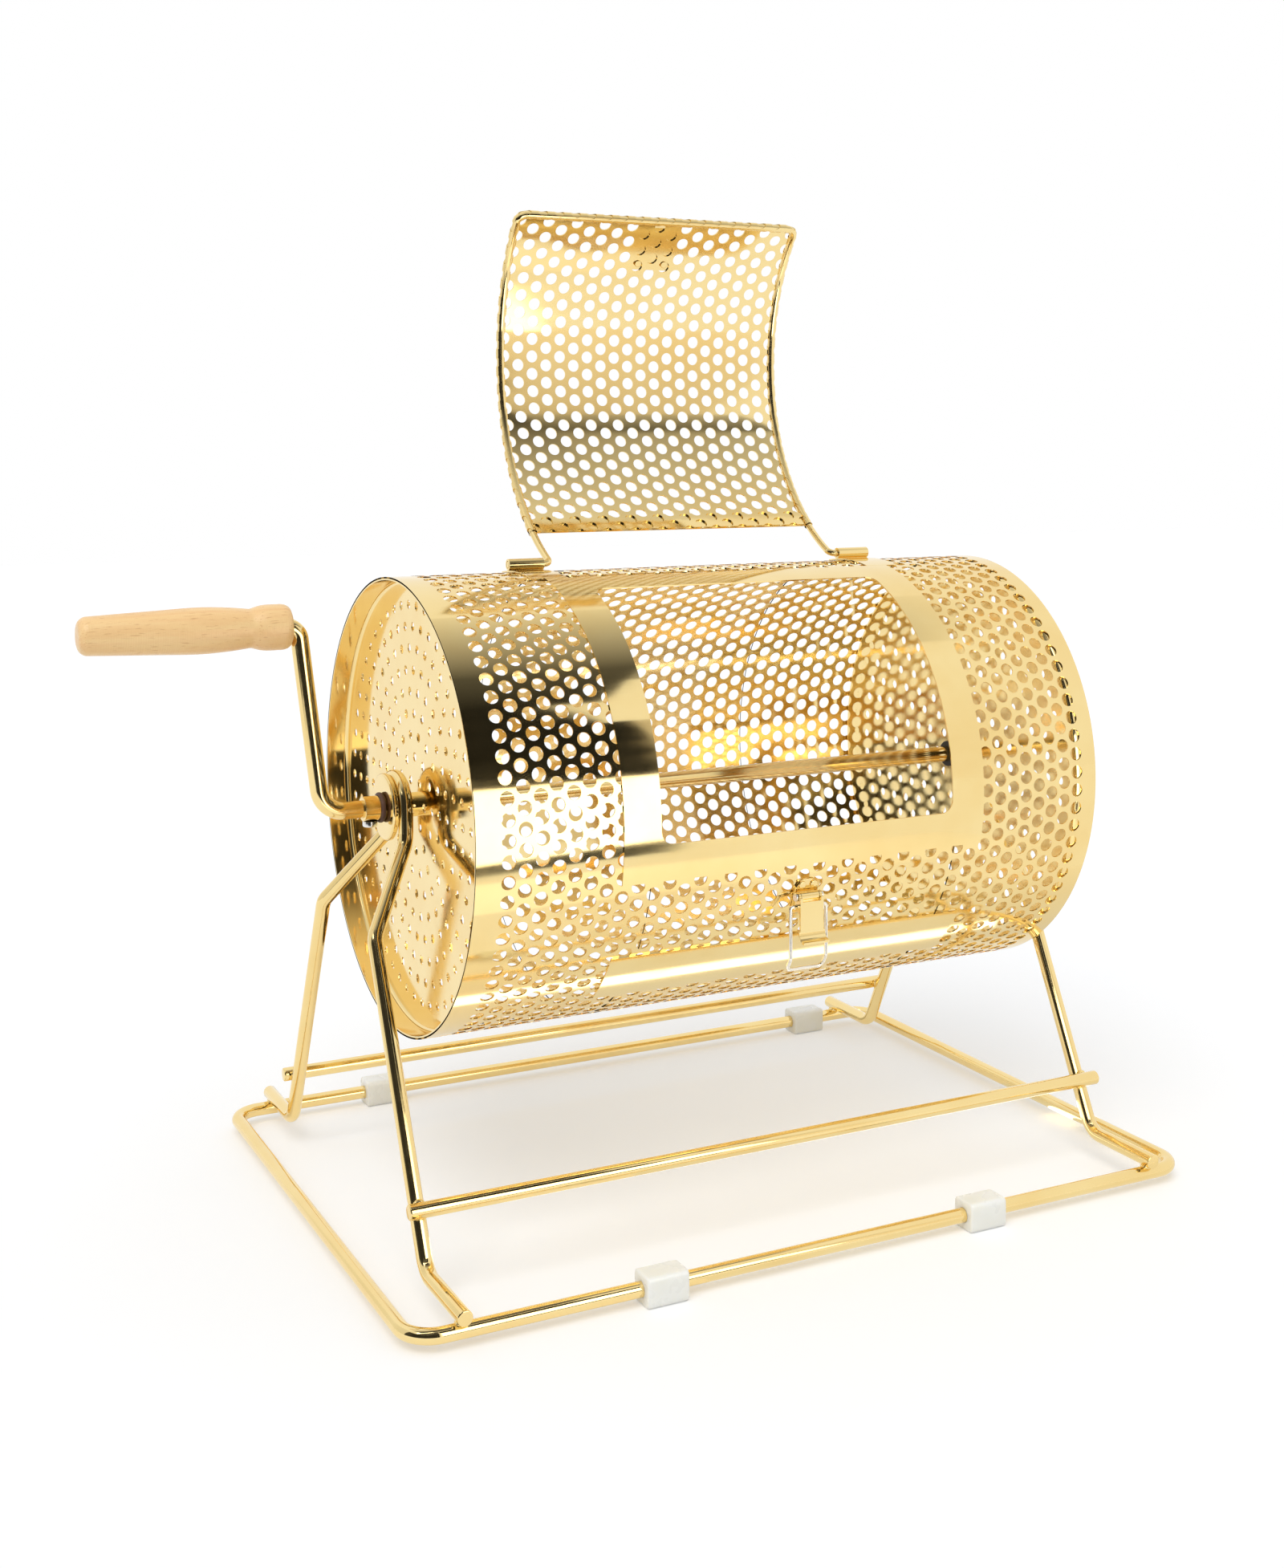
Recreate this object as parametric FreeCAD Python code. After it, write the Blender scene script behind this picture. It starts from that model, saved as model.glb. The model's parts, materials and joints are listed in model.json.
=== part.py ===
"""Raffle drum with crank: a perforated drum that a bent axle turns in a bent-wire stand.

Millimetres, +Z up. X runs along the drum's axle, with the crank towards -X. -Y is the front, where the
drum's door opening faces. The origin is under the middle of the whole object's box, on the floor. The door is
modelled shut, on the drum, and then turned about its hinge to the open place where it is stored.

Angles round the drum are degrees up from the horizontal at the front, about the axle.
"""

import FreeCAD, Part

import math
import os

V = FreeCAD.Vector

# Stock and fits
wire_d = 8.0
sheet_t = 0.8
axle_d = 9.5
door_wire_d = 4.0
bail_wire_d = 2.0
weld_gap = 0.05
seat_gap = 0.1
press_gap = 0.02
running_gap = 0.06
door_gap = 0.6

# Drum
drum_d = 250.0
drum_len = 381.0
drum_offset = 11.0
cap_recess = 12.5
shaft_h = 225.0

# Doubler plates on the drum
plate_half_w = 111.0
plate_low_angle = -12.6
plate_top_angle = 78.0
opening_half_w = 90.0
opening_low_angle = -3.6
opening_top_angle = 69.7
opening_corner_r = 7.0
shell_cut_back = 4.0
strip_half_w = 109.0
strip_top_angle = -33.8
strip_low_angle = -50.3

# Openings in the rolled sheets: a staggered grid with the real share of open area and a coarser pitch
shell_hole_rows = 24
shell_hole_columns = 12
shell_hole_d = 23.5
shell_plain_rim = 9.5
door_hole_rows = 6
door_hole_columns = 6
door_hole_d = 21.5
door_plain_edge = 6.5
hole_web = 3.0

# Stand
base_half_l = 230.7
base_half_w = 167.7
base_corner_r = 16.0
frame_x = 206.0
leg_foot_y = 120.0
leg_knee_y = 46.0
knee_drop = 59.0
kink_drop = 17.0
arch_r = 16.0
arch_inset = 1.5
leg_bend_r = 13.0
foot_overrun = 6.0
rod_height = 46.0
rod_overrun = 7.0
disc_d = 36.7
disc_t = 3.6
disc_edge_r = 1.2

# Plastic feet on the base wire
foot_len = 23.0
foot_wall = 4.0
foot_corner_r = 3.0
front_foot_x = (-101.0, 91.0)
rear_foot_x = (-135.0, 181.0)

# Axle, crank and grip
hub_tube_d = 13.4
hub_tube_out = 11.5
right_tube_out = 4.0
axle_stub = 2.0
crank_x = -219.5
crank_throw = 101.0
crank_lean = 11.0
crank_elbow_r = 14.0
crank_top_r = 8.0
grip_len = 108.4
grip_d = 24.3
grip_groove_d = 20.5
grip_end_d = 19.2
grip_head_len = 21.0
grip_gap = 4.6
grip_blind = 14.0
grip_mouth_d = 12.8
grip_mouth_depth = 5.0
ring_d = 13.0
ring_t = 1.2
ring_inset = 8.0
ring_slack = 0.25

# Rubber rings and set screw
outer_ring_d = 16.5
outer_ring_t = 2.6
outer_ring_from_disc = 1.6
inner_ring_d = 16.0
inner_ring_t = 3.0
screw_d = 5.0
screw_head_d = 8.0
screw_head_h = 3.2
screw_from_disc = 7.2

# Door
door_half_w = 92.8
door_edge_angle = 80.4
door_free_angle = -11.0
door_corner_r = 9.0
hinge_angle = 93.7
hinge_bend_r = 4.0
hinge_pin_len = 22.0
hinge_clip_gap = 0.8
clip_wall = 1.2
clip_rise_angle = 98.0
hem_wall = 0.6
fold_width = 12.0
fold_t = 1.8
open_angle = 150.5

# Latch, centred on the drum
latch_angle = -20.6
latch_base_w = 14.0
latch_base_up = 9.0
latch_base_down = 9.0
latch_plate_t = 1.2
barrel_len = 11.0
barrel_wall = 1.3
latch_pin_d = 2.6
latch_pin_head_d = 4.4
latch_pin_head_t = 1.0
ear_t = 1.5
ear_gap = 0.2
lever_len = 18.0
tab_w = 16.0
tab_r = 6.0
bail_drop = 5.0
bail_half_w = 11.0
bail_len = 35.0
bail_bend_r = 3.0
keeper_w = 28.0
keeper_low_angle = -9.0
keeper_top_angle = 3.5
hook_w = 15.0
hook_rise = 3.6
hook_lip = 4.0
rivet_d = 2.4
rivet_head_d = 4.2
rivet_head_t = 0.8

# Sizes that follow from the ones above
wire_r = wire_d / 2
axle_r = axle_d / 2
tube_r = hub_tube_d / 2
drum_r = drum_d / 2
drum_left = drum_offset - drum_len / 2
drum_right = drum_offset + drum_len / 2
rail_z = foot_wall + wire_r
foot_z = rail_z + wire_d + weld_gap
knee_z = shaft_h - knee_drop
plate_in_r = drum_r + seat_gap
plate_out_r = plate_in_r + sheet_t
hem_r = door_wire_d / 2 + weld_gap + hem_wall
door_r = plate_out_r + door_gap + hem_r
latch_tilt = math.radians(latch_angle)
pin_r = latch_pin_d / 2
barrel_r = pin_r + barrel_wall
pin_radius = plate_in_r + latch_plate_t + 0.2 + barrel_r
left_arch_x = drum_left + arch_inset
right_arch_x = drum_right - arch_inset
grip_x0 = crank_x - crank_lean - grip_gap - grip_len
object_mid_x = (grip_x0 + base_half_l + wire_r) / 2


def drum_point(x, radius, angle):
    """The point at an angle in degrees round the drum, a radius from its axle."""
    turn = math.radians(angle)
    return V(x, -radius * math.cos(turn), shaft_h + radius * math.sin(turn))


def downwards(angle):
    """The unit direction round the drum, towards smaller angles."""
    turn = math.radians(angle)
    return V(0, -math.sin(turn), -math.cos(turn))


def outwards(angle):
    """The unit direction away from the axle."""
    turn = math.radians(angle)
    return V(0, -math.cos(turn), math.sin(turn))


def bar_x(radius, x0, x1, y=0.0, z=shaft_h):
    """A round bar along X."""
    return Part.makeCylinder(radius, x1 - x0, V(x0, y, z), V(1, 0, 0))


def ring_x(outer, inner, x0, x1, y=0.0, z=shaft_h):
    """A tube along X."""
    reach = 1.0
    return bar_x(outer, x0, x1, y, z).cut(bar_x(inner, x0 - reach, x1 + reach, y, z))


def curved_sheet(r_in, r_out, x0, x1, low, top):
    """A rectangle of sheet rolled round the drum's axle, between two angles."""
    middle = (low + top) / 2
    outer = Part.Arc(drum_point(x0, r_out, low), drum_point(x0, r_out, middle), drum_point(x0, r_out, top))
    inner = Part.Arc(drum_point(x0, r_in, top), drum_point(x0, r_in, middle), drum_point(x0, r_in, low))
    sides = [
        Part.makeLine(drum_point(x0, r_out, top), drum_point(x0, r_in, top)),
        Part.makeLine(drum_point(x0, r_in, low), drum_point(x0, r_out, low)),
    ]
    outline = Part.Wire([outer.toShape(), sides[0], inner.toShape(), sides[1]])
    return Part.Face(outline).extrude(V(x1 - x0, 0, 0))


def radial_edges(shape):
    """The straight edges of a curved sheet that point away from the axle."""
    found = []
    for edge in shape.Edges:
        ends = [vertex.Point for vertex in edge.Vertexes]
        if len(ends) == 2 and isinstance(edge.Curve, Part.Line) and abs(ends[0].x - ends[1].x) < 1e-6:
            found.append(edge)
    return found


def window(margin, r_in, r_out):
    """A cutter for the door opening with rounded corners, larger all round by a margin."""
    step = math.degrees(margin / drum_r)
    cutter = curved_sheet(
        r_in,
        r_out,
        drum_offset - opening_half_w - margin,
        drum_offset + opening_half_w + margin,
        opening_low_angle - step,
        opening_top_angle + step,
    )
    return cutter.makeFillet(opening_corner_r, radial_edges(cutter))


def turned(centre, start, direction, axis, angle, radius):
    """A round wire bent in one arc about an axis through a centre, from a start point."""
    section = Part.Face(Part.Wire(Part.makeCircle(radius, start, direction)))
    return section.revolve(centre, axis, angle)


def straight(start, end, radius):
    """A round wire between two points."""
    run = end.sub(start)
    return Part.makeCylinder(radius, run.Length, start, run)


def joined(pieces):
    """One solid from pieces that meet face to face."""
    if len(pieces) == 1:
        return pieces[0]
    return pieces[0].multiFuse(pieces[1:]).removeSplitter()


def bent_wire(points, bends, radius, closed=False):
    """A round wire along a polyline, with an arc of the given radius at each corner."""
    count = len(points)
    corners = range(count) if closed else range(1, count - 1)
    leaves = {}
    pieces = []
    for index, bend in zip(corners, bends):
        corner = points[index]
        before = corner.sub(points[index - 1]).normalize()
        after = points[(index + 1) % count].sub(corner).normalize()
        angle = before.getAngle(after)
        reach = bend * math.tan(angle / 2)
        arrive = corner.sub(V(before).multiply(reach))
        depart = corner.add(V(after).multiply(reach))
        leaves[index] = (arrive, depart)
        axis = before.cross(after).normalize()
        centre = arrive.add(axis.cross(before).normalize().multiply(bend))
        pieces.append(turned(centre, arrive, before, axis, math.degrees(angle), radius))
    for index in range(count if closed else count - 1):
        following = (index + 1) % count
        start = leaves.get(index, (None, points[index]))[1]
        end = leaves.get(following, (points[following], None))[0]
        if end.sub(start).Length > 1e-6:
            pieces.append(straight(start, end, radius))
    return joined(pieces)


def base_loop():
    """The floor frame: one wire rectangle."""
    corners = [
        V(-base_half_l, -base_half_w, rail_z),
        V(base_half_l, -base_half_w, rail_z),
        V(base_half_l, base_half_w, rail_z),
        V(-base_half_l, base_half_w, rail_z),
    ]
    return bent_wire(corners, [base_corner_r] * 4, wire_r, closed=True)


def side_frame(side, arch_x):
    """One end of the stand: a wire that goes up one leg, over the axle and down the other leg."""
    foot_y = base_half_w + foot_overrun
    half = [
        V(side * frame_x, -foot_y, foot_z),
        V(side * frame_x, -leg_foot_y, foot_z),
        V(side * frame_x, -leg_knee_y, knee_z),
        V(arch_x, -arch_r, shaft_h - kink_drop),
        V(arch_x, -arch_r, shaft_h + arch_r),
    ]
    other = [V(point.x, -point.y, point.z) for point in reversed(half)]
    bends = [leg_bend_r, leg_bend_r, leg_bend_r, arch_r]
    return bent_wire(half + other, bends + bends[::-1], wire_r)


def cross_rod(facing):
    """A tie rod welded on the outer side of the two front or two rear legs."""
    run_y = leg_foot_y - leg_knee_y
    run_z = knee_z - foot_z
    slope = run_y / run_z
    leg_y = leg_foot_y - (rod_height - foot_z) * slope
    y = facing * (leg_y + (wire_d + weld_gap) * math.hypot(run_y, run_z) / run_z)
    reach = frame_x + rod_overrun
    return bar_x(wire_r, -reach, reach, y, rod_height)


def bearing_disc(side, arch_x):
    """A round plate on the outer side of an arch, with the bore that a hub tube turns in."""
    near = arch_x + side * (wire_r + weld_gap)
    far = near + side * disc_t
    disc = bar_x(disc_d / 2, min(near, far), max(near, far))
    disc = disc.makeFillet(disc_edge_r, disc.Edges)
    return disc.cut(bar_x(tube_r + running_gap, min(near, far) - 1, max(near, far) + 1))


def plastic_foot(x, facing):
    """A square sleeve round the base wire, flat below."""
    half = rail_z
    y = facing * base_half_w
    block = Part.makeBox(foot_len, 2 * half, 2 * half, V(x - foot_len / 2, y - half, rail_z - half))
    along = V(1, 0, 0)
    long_edges = [edge for edge in block.Edges if edge.tangentAt(edge.FirstParameter).cross(along).Length < 1e-6]
    block = block.makeFillet(foot_corner_r, long_edges)
    return block.cut(bar_x(wire_r + weld_gap, x - foot_len, x + foot_len, y, rail_z))


def radial_bore(x, angle, bore_r, middle):
    """A round cutter through a rolled sheet, pointing away from the axle."""
    reach = 10.0
    return Part.makeCylinder(bore_r, 2 * reach, drum_point(x, middle - reach, angle), outwards(angle))


def meets(x, angle, margin, area):
    """Whether a place on the drum is within a margin of a rolled rectangle: its middle, half width and angles."""
    middle, half_w, low, top = area
    step = math.degrees(margin / drum_r)
    return abs(x - middle) < half_w + margin and low - step < angle < top + step


def shell_bores():
    """Cutters for the grid of openings in the drum, clear of the door opening, the latch and the hinge clips."""
    bore_r = shell_hole_d / 2
    clip_x = door_half_w + hinge_bend_r + hinge_pin_len / 2
    latch_turn = math.degrees((latch_base_up + latch_base_down) / 2 / drum_r)
    kept_whole = [
        (drum_offset, opening_half_w + shell_cut_back, opening_low_angle, opening_top_angle),
        (drum_offset, latch_base_w / 2, latch_angle - latch_turn, latch_angle + latch_turn),
        (drum_offset - clip_x, hinge_pin_len / 2, plate_top_angle, clip_rise_angle),
        (drum_offset + clip_x, hinge_pin_len / 2, plate_top_angle, clip_rise_angle),
    ]
    first = drum_left + shell_plain_rim + bore_r
    spacing = (drum_len - 2 * (shell_plain_rim + bore_r)) / (shell_hole_columns - 1)
    turn = 360.0 / shell_hole_rows
    bores = []
    for column in range(shell_hole_columns):
        x = first + column * spacing
        for row in range(shell_hole_rows):
            angle = (row + column % 2 / 2) * turn - 180.0
            if not any(meets(x, angle, bore_r + hole_web, area) for area in kept_whole):
                bores.append(radial_bore(x, angle, bore_r, drum_r))
    return bores


def drum_shell():
    """The rolled drum sheet, open at both ends, cut for the door and pierced all over."""
    tube = ring_x(drum_r, drum_r - sheet_t, drum_left, drum_right)
    reach = 10.0
    shell = tube.cut(window(shell_cut_back, drum_r - reach, drum_r + reach))
    shell = shell.cut(shell_bores())
    for step in (-1, 1):
        shell = shell.cut(latch_rivet_hole(step))
    return shell


def end_cap(side):
    """A disc set into the end of the drum, with a flange that reaches out to the rim."""
    rim = drum_left if side < 0 else drum_right
    inner = rim - side * (cap_recess + sheet_t)
    flange_r = drum_r - sheet_t - seat_gap
    cup = bar_x(flange_r, min(rim, inner), max(rim, inner))
    hollow_end = rim - side * cap_recess
    over = rim + side
    hollow = bar_x(flange_r - sheet_t, min(over, hollow_end), max(over, hollow_end))
    hub = bar_x(tube_r + press_gap, min(over, inner) - 1, max(over, inner) + 1)
    return cup.cut(hollow).cut(hub)


def door_frame_plate():
    """The smooth doubler round the door opening."""
    plate = curved_sheet(
        plate_in_r,
        plate_out_r,
        drum_offset - plate_half_w,
        drum_offset + plate_half_w,
        plate_low_angle,
        plate_top_angle,
    )
    reach = 10.0
    return plate.cut(window(0.0, drum_r - reach, drum_r + reach))


def latch_strip():
    """The smooth doubler below the latch."""
    return curved_sheet(
        plate_in_r,
        plate_out_r,
        drum_offset - strip_half_w,
        drum_offset + strip_half_w,
        strip_low_angle,
        strip_top_angle,
    )


def disc_outer_face(side):
    """Where a bearing disc's outer face lies on the axle."""
    arch_x = left_arch_x if side < 0 else right_arch_x
    return arch_x + side * (wire_r + weld_gap + disc_t)


def left_hub_tube():
    """The tube that the crank's rod is screwed into; it turns in the left bearing disc."""
    start = disc_outer_face(-1) - hub_tube_out
    end = drum_left + cap_recess + sheet_t
    tube = ring_x(tube_r, axle_r + press_gap, start, end)
    screw_x = disc_outer_face(-1) - screw_from_disc
    hole = Part.makeCylinder(screw_d / 2 + press_gap, drum_r, V(screw_x, 0, shaft_h), V(0, 0, -1))
    return tube.cut(hole)


def right_hub_tube():
    """The short tube that turns in the right bearing disc."""
    start = drum_right - cap_recess - sheet_t
    return ring_x(tube_r, axle_r + press_gap, start, disc_outer_face(1) + right_tube_out)


def crank_axle():
    """One round rod: the axle, the crank arm and the spindle inside the grip."""
    points = [
        V(disc_outer_face(1) + right_tube_out + axle_stub, 0, shaft_h),
        V(crank_x, 0, shaft_h),
        V(crank_x - crank_lean, 0, shaft_h + crank_throw),
        V(grip_x0 + grip_blind, 0, shaft_h + crank_throw),
    ]
    return bent_wire(points, [crank_elbow_r, crank_top_r], axle_r)


def crank_set_screw():
    """The screw through the hub tube's wall that locks the rod."""
    x = disc_outer_face(-1) - screw_from_disc
    seat = tube_r + press_gap
    tip = axle_r + press_gap
    down = V(0, 0, -1)
    shank = Part.makeCylinder(screw_d / 2, seat - tip, V(x, 0, shaft_h - tip), down)
    head = Part.makeCylinder(screw_head_d / 2, screw_head_h, V(x, 0, shaft_h - seat), down)
    rim = [edge for edge in head.Edges if abs(edge.BoundBox.ZMax - (shaft_h - seat - screw_head_h)) < 1e-6]
    head = head.makeFillet(screw_head_h / 3, rim)
    return joined([shank, head])


def outer_friction_ring():
    """The rubber ring on the left hub tube, outside the bearing disc."""
    middle = disc_outer_face(-1) - outer_ring_from_disc
    half = outer_ring_t / 2
    ring = bar_x(outer_ring_d / 2, middle - half, middle + half)
    ring = ring.makeFillet(half * 0.8, ring.Edges)
    return ring.cut(bar_x(tube_r + press_gap, middle - outer_ring_t, middle + outer_ring_t))


def inner_friction_ring():
    """The rubber ring on the axle, inside the right end cap."""
    end = drum_right - cap_recess - sheet_t - seat_gap
    ring = bar_x(inner_ring_d / 2, end - inner_ring_t, end)
    ring = ring.makeFillet(inner_ring_t / 3, ring.Edges)
    return ring.cut(bar_x(axle_r + press_gap, end - 2 * inner_ring_t, end + 1))


def crank_grip():
    """The turned handle, lathed round the crank's spindle, with a blind bore, a wider mouth and a ring groove."""
    z = shaft_h + crank_throw
    x1 = grip_x0 + grip_len
    nose = 5.0
    profile = [
        (grip_x0, 0.0),
        (grip_x0, grip_end_d / 2 - nose),
        (grip_x0 + nose * 0.3, grip_end_d / 2 - nose * 0.3),
        (grip_x0 + nose, grip_end_d / 2 + 0.4),
        (grip_x0 + grip_len * 0.35, grip_d / 2 - 0.8),
        (grip_x0 + grip_len * 0.58, grip_d / 2),
        (x1 - grip_head_len - 10.0, grip_d / 2 - 0.8),
        (x1 - grip_head_len, grip_groove_d / 2),
        (x1 - grip_head_len + 6.0, grip_d / 2 - 0.3),
        (x1 - 5.0, grip_d / 2),
        (x1 - 1.0, grip_d / 2 - 0.9),
        (x1, grip_d / 2 - 3.0),
        (x1, 0.0),
    ]
    points = [V(x, 0, z + radius) for x, radius in profile]
    barrel = Part.BSplineCurve()
    barrel.interpolate(points[3:8])
    head = Part.BSplineCurve()
    head.interpolate(points[7:10])
    edges = [
        Part.makeLine(points[0], points[1]),
        Part.Arc(points[1], points[2], points[3]).toShape(),
        barrel.toShape(),
        head.toShape(),
        Part.Arc(points[9], points[10], points[11]).toShape(),
        Part.makeLine(points[11], points[12]),
        Part.makeLine(points[12], points[0]),
    ]
    body = Part.Face(Part.Wire(edges)).revolve(V(0, 0, z), V(1, 0, 0), 360)
    bore = bar_x(axle_r + running_gap, grip_x0 + grip_blind - 1.0, x1 + 1.0, 0.0, z)
    mouth = bar_x(grip_mouth_d / 2, x1 - grip_mouth_depth, x1 + 1.0, 0.0, z)
    groove_end = x1 - ring_inset + ring_slack
    groove = bar_x(ring_d / 2 + ring_slack, groove_end - ring_t - 2 * ring_slack, groove_end, 0.0, z)
    return body.cut(bore).cut(mouth).cut(groove)


def grip_ring():
    """The retaining ring on the spindle, in the grip's groove."""
    z = shaft_h + crank_throw
    end = grip_x0 + grip_len - ring_inset
    return ring_x(ring_d / 2, axle_r + press_gap, end - ring_t, end, 0.0, z)


def hinge_place():
    """The hinge's angle, its radius and the angle where the door's wire leaves the hinge bend."""
    radius = math.hypot(door_r, hinge_bend_r)
    leave = hinge_angle - math.degrees(math.atan2(hinge_bend_r, door_r))
    return hinge_angle, radius, leave


def hinge_clip(side):
    """A folded sheet sleeve on the drum for one of the door's hinge pins, with its flange."""
    angle, radius, _ = hinge_place()
    centre = drum_point(0, radius, angle)
    pin_start = door_half_w + hinge_bend_r + hinge_clip_gap
    pin_end = door_half_w + hinge_bend_r + hinge_pin_len
    x0, x1 = sorted((drum_offset + side * pin_start, drum_offset + side * pin_end))
    bore = door_wire_d / 2 + running_gap
    sleeve = bar_x(bore + clip_wall, x0, x1, centre.y, centre.z)
    seat_angle = plate_top_angle + math.degrees(seat_gap * 3 / plate_in_r)
    flange = curved_sheet(plate_in_r, plate_out_r, x0, x1, seat_angle, clip_rise_angle)
    web_half = math.degrees(clip_wall / drum_r)
    web = curved_sheet(plate_out_r - sheet_t / 2, radius, x0, x1, angle - web_half, angle + web_half)
    return joined([flange, web, sleeve]).cut(bar_x(bore, x0 - 1, x1 + 1, centre.y, centre.z))


def door_path():
    """The places where the door wire's bends start and end: leaving the hinge, and at the free edge."""
    _, _, leave = hinge_place()
    free = door_free_angle + math.degrees(math.atan2(door_corner_r, door_r))
    return leave, free


def side_arc(side, low, top, radius):
    """The part of the door's wire that runs round the drum at one side of the door."""
    start = drum_point(drum_offset + side * door_half_w, door_r, top)
    centre = V(start.x, 0, shaft_h)
    return turned(centre, start, downwards(top), V(1, 0, 0), top - low, radius)


def free_corner(side, radius):
    """The bend of the door's wire at one corner of its free edge."""
    _, free = door_path()
    start = drum_point(drum_offset + side * door_half_w, door_r, free)
    inward = V(-side, 0, 0)
    centre = start.add(V(inward).multiply(door_corner_r))
    axis = downwards(free).cross(inward)
    return turned(centre, start, downwards(free), axis, 90, radius)


def free_edge(radius):
    """The straight run of the door's wire along its free edge."""
    _, free = door_path()
    reach = door_half_w - door_corner_r
    level = drum_point(0, door_r, free).add(downwards(free).multiply(door_corner_r))
    return bar_x(radius, drum_offset - reach, drum_offset + reach, level.y, level.z)


def opened(shape):
    """The door's parts, turned about the hinge from shut to open."""
    angle, radius, _ = hinge_place()
    turned_shape = shape.copy()
    turned_shape.rotate(drum_point(0, radius, angle), V(1, 0, 0), -open_angle)
    return turned_shape


def door_wire():
    """The wire round the door: two hinge pins, two arms, the sides and the free edge."""
    angle, hinge_r, leave = hinge_place()
    radius = door_wire_d / 2
    _, free = door_path()
    pieces = [free_edge(radius)]
    for side in (-1, 1):
        corner = drum_point(drum_offset + side * door_half_w, hinge_r, angle)
        pin_start = corner.add(V(side * hinge_bend_r, 0, 0))
        pin_end = corner.add(V(side * (hinge_bend_r + hinge_pin_len), 0, 0))
        centre = pin_start.add(downwards(leave).multiply(hinge_bend_r))
        axis = V(-side, 0, 0).cross(downwards(leave))
        pieces.append(straight(pin_end, pin_start, radius))
        pieces.append(turned(centre, pin_start, V(-side, 0, 0), axis, 90, radius))
        pieces.append(side_arc(side, free, leave, radius))
        pieces.append(free_corner(side, radius))
    return opened(joined(pieces))


def door_hem(radius):
    """A round bar along the door's wire, from the hinge edge of the sheet round to the other side."""
    _, free = door_path()
    pieces = [free_edge(radius)]
    for side in (-1, 1):
        pieces.append(side_arc(side, free, door_edge_angle, radius))
        pieces.append(free_corner(side, radius))
    return joined(pieces)


def door_bores(fold_low):
    """Cutters for the grid of openings in the door, clear of its rolled edges, its fold and the keeper."""
    bore_r = door_hole_d / 2
    side = door_half_w - hem_r - door_plain_edge - bore_r
    across = 2 * side / (door_hole_columns - 1)
    low = math.radians(door_free_angle) * door_r + hem_r + door_plain_edge + bore_r
    top = math.radians(fold_low) * door_r - door_plain_edge - bore_r
    along = (top - low) / (door_hole_rows - 0.5)
    keeper = (drum_offset, keeper_w / 2, keeper_low_angle, keeper_top_angle)
    bores = []
    for column in range(door_hole_columns):
        x = drum_offset - side + column * across
        for row in range(door_hole_rows):
            angle = math.degrees((low + (row + column % 2 / 2) * along) / door_r)
            if not meets(x, angle, bore_r + hole_web, keeper):
                bores.append(radial_bore(x, angle, bore_r, door_r))
    return bores


def door_panel():
    """The curved door sheet, its edges rolled round the wire and its hinge edge folded double."""
    left = drum_offset - door_half_w
    right = drum_offset + door_half_w
    _, free = door_path()
    half = sheet_t / 2
    sheet = curved_sheet(door_r - half, door_r + half, left, right, door_free_angle, door_edge_angle)
    low = drum_point(0, door_r, door_free_angle)
    corners = []
    for edge in radial_edges(sheet):
        middle = edge.CenterOfMass
        if math.hypot(middle.y - low.y, middle.z - low.z) < 1:
            corners.append(edge)
    sheet = sheet.makeFillet(door_corner_r, corners)
    fold_low = door_edge_angle - math.degrees(fold_width / door_r)
    fold = curved_sheet(door_r - fold_t / 2, door_r + fold_t / 2, left + 1, right - 1, fold_low, door_edge_angle)
    panel = joined([sheet, fold, door_hem(hem_r)]).cut(door_bores(fold_low))
    panel = panel.cut(door_hem(door_wire_d / 2 + weld_gap))
    for step in (-1, 1):
        panel = panel.cut(door_rivet_shank(step, 0.05))
    solids = sorted(panel.Solids, key=lambda solid: solid.Volume)
    return opened(solids[-1])


def keeper_seat():
    """The radius of the door's outer face, where the keeper is riveted."""
    return door_r + sheet_t / 2 + weld_gap


def door_rivet_angle():
    """The angle of the keeper's rivets."""
    return keeper_top_angle - math.degrees(rivet_head_d / door_r)


def door_rivet_shank(step, gap):
    """A cylinder through the door and the keeper at one rivet."""
    angle = door_rivet_angle()
    start = drum_point(drum_offset + step * keeper_w / 3.2, door_r - sheet_t / 2 - 3.0, angle)
    length = 3.0 + sheet_t + weld_gap + latch_plate_t + 3.0
    return Part.makeCylinder(rivet_d / 2 + gap, length, start, outwards(angle))


def door_keeper():
    """The hook on the door's outer face that the bail pulls down on."""
    seat = keeper_seat()
    top = seat + latch_plate_t
    half = keeper_w / 2
    base = curved_sheet(seat, top, drum_offset - half, drum_offset + half, keeper_low_angle, keeper_top_angle)
    wall_deg = math.degrees(latch_plate_t / top)
    hook_low = keeper_low_angle + wall_deg
    hook_top = hook_low + wall_deg
    x0 = drum_offset - hook_w / 2
    x1 = drum_offset + hook_w / 2
    wall = curved_sheet(top - 0.2, top + hook_rise, x0, x1, hook_low, hook_top)
    lip_top = hook_top + math.degrees(hook_lip / top)
    lip = curved_sheet(top + hook_rise - latch_plate_t, top + hook_rise, x0, x1, hook_low, lip_top)
    hook = joined([base, wall, lip])
    for step in (-1, 1):
        hook = hook.cut(door_rivet_shank(step, 0.05))
    return opened(hook)


def keeper_rivets():
    """Two rivets that hold the keeper to the door sheet."""
    angle = door_rivet_angle()
    rivets = []
    for step in (-1, 1):
        x = drum_offset + step * keeper_w / 3.2
        inner = drum_point(x, door_r - sheet_t / 2 - weld_gap, angle)
        length = sheet_t + latch_plate_t + 3 * weld_gap
        shank = Part.makeCylinder(rivet_d / 2, length, inner, outwards(angle))
        tail = Part.makeCylinder(rivet_head_d / 2, rivet_head_t, inner, outwards(angle).negative())
        outer = inner.add(outwards(angle).multiply(length))
        head = Part.makeCylinder(rivet_head_d / 2, rivet_head_t, outer, outwards(angle))
        rivets.append(opened(joined([shank, tail, head])))
    return Part.makeCompound(rivets)


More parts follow.
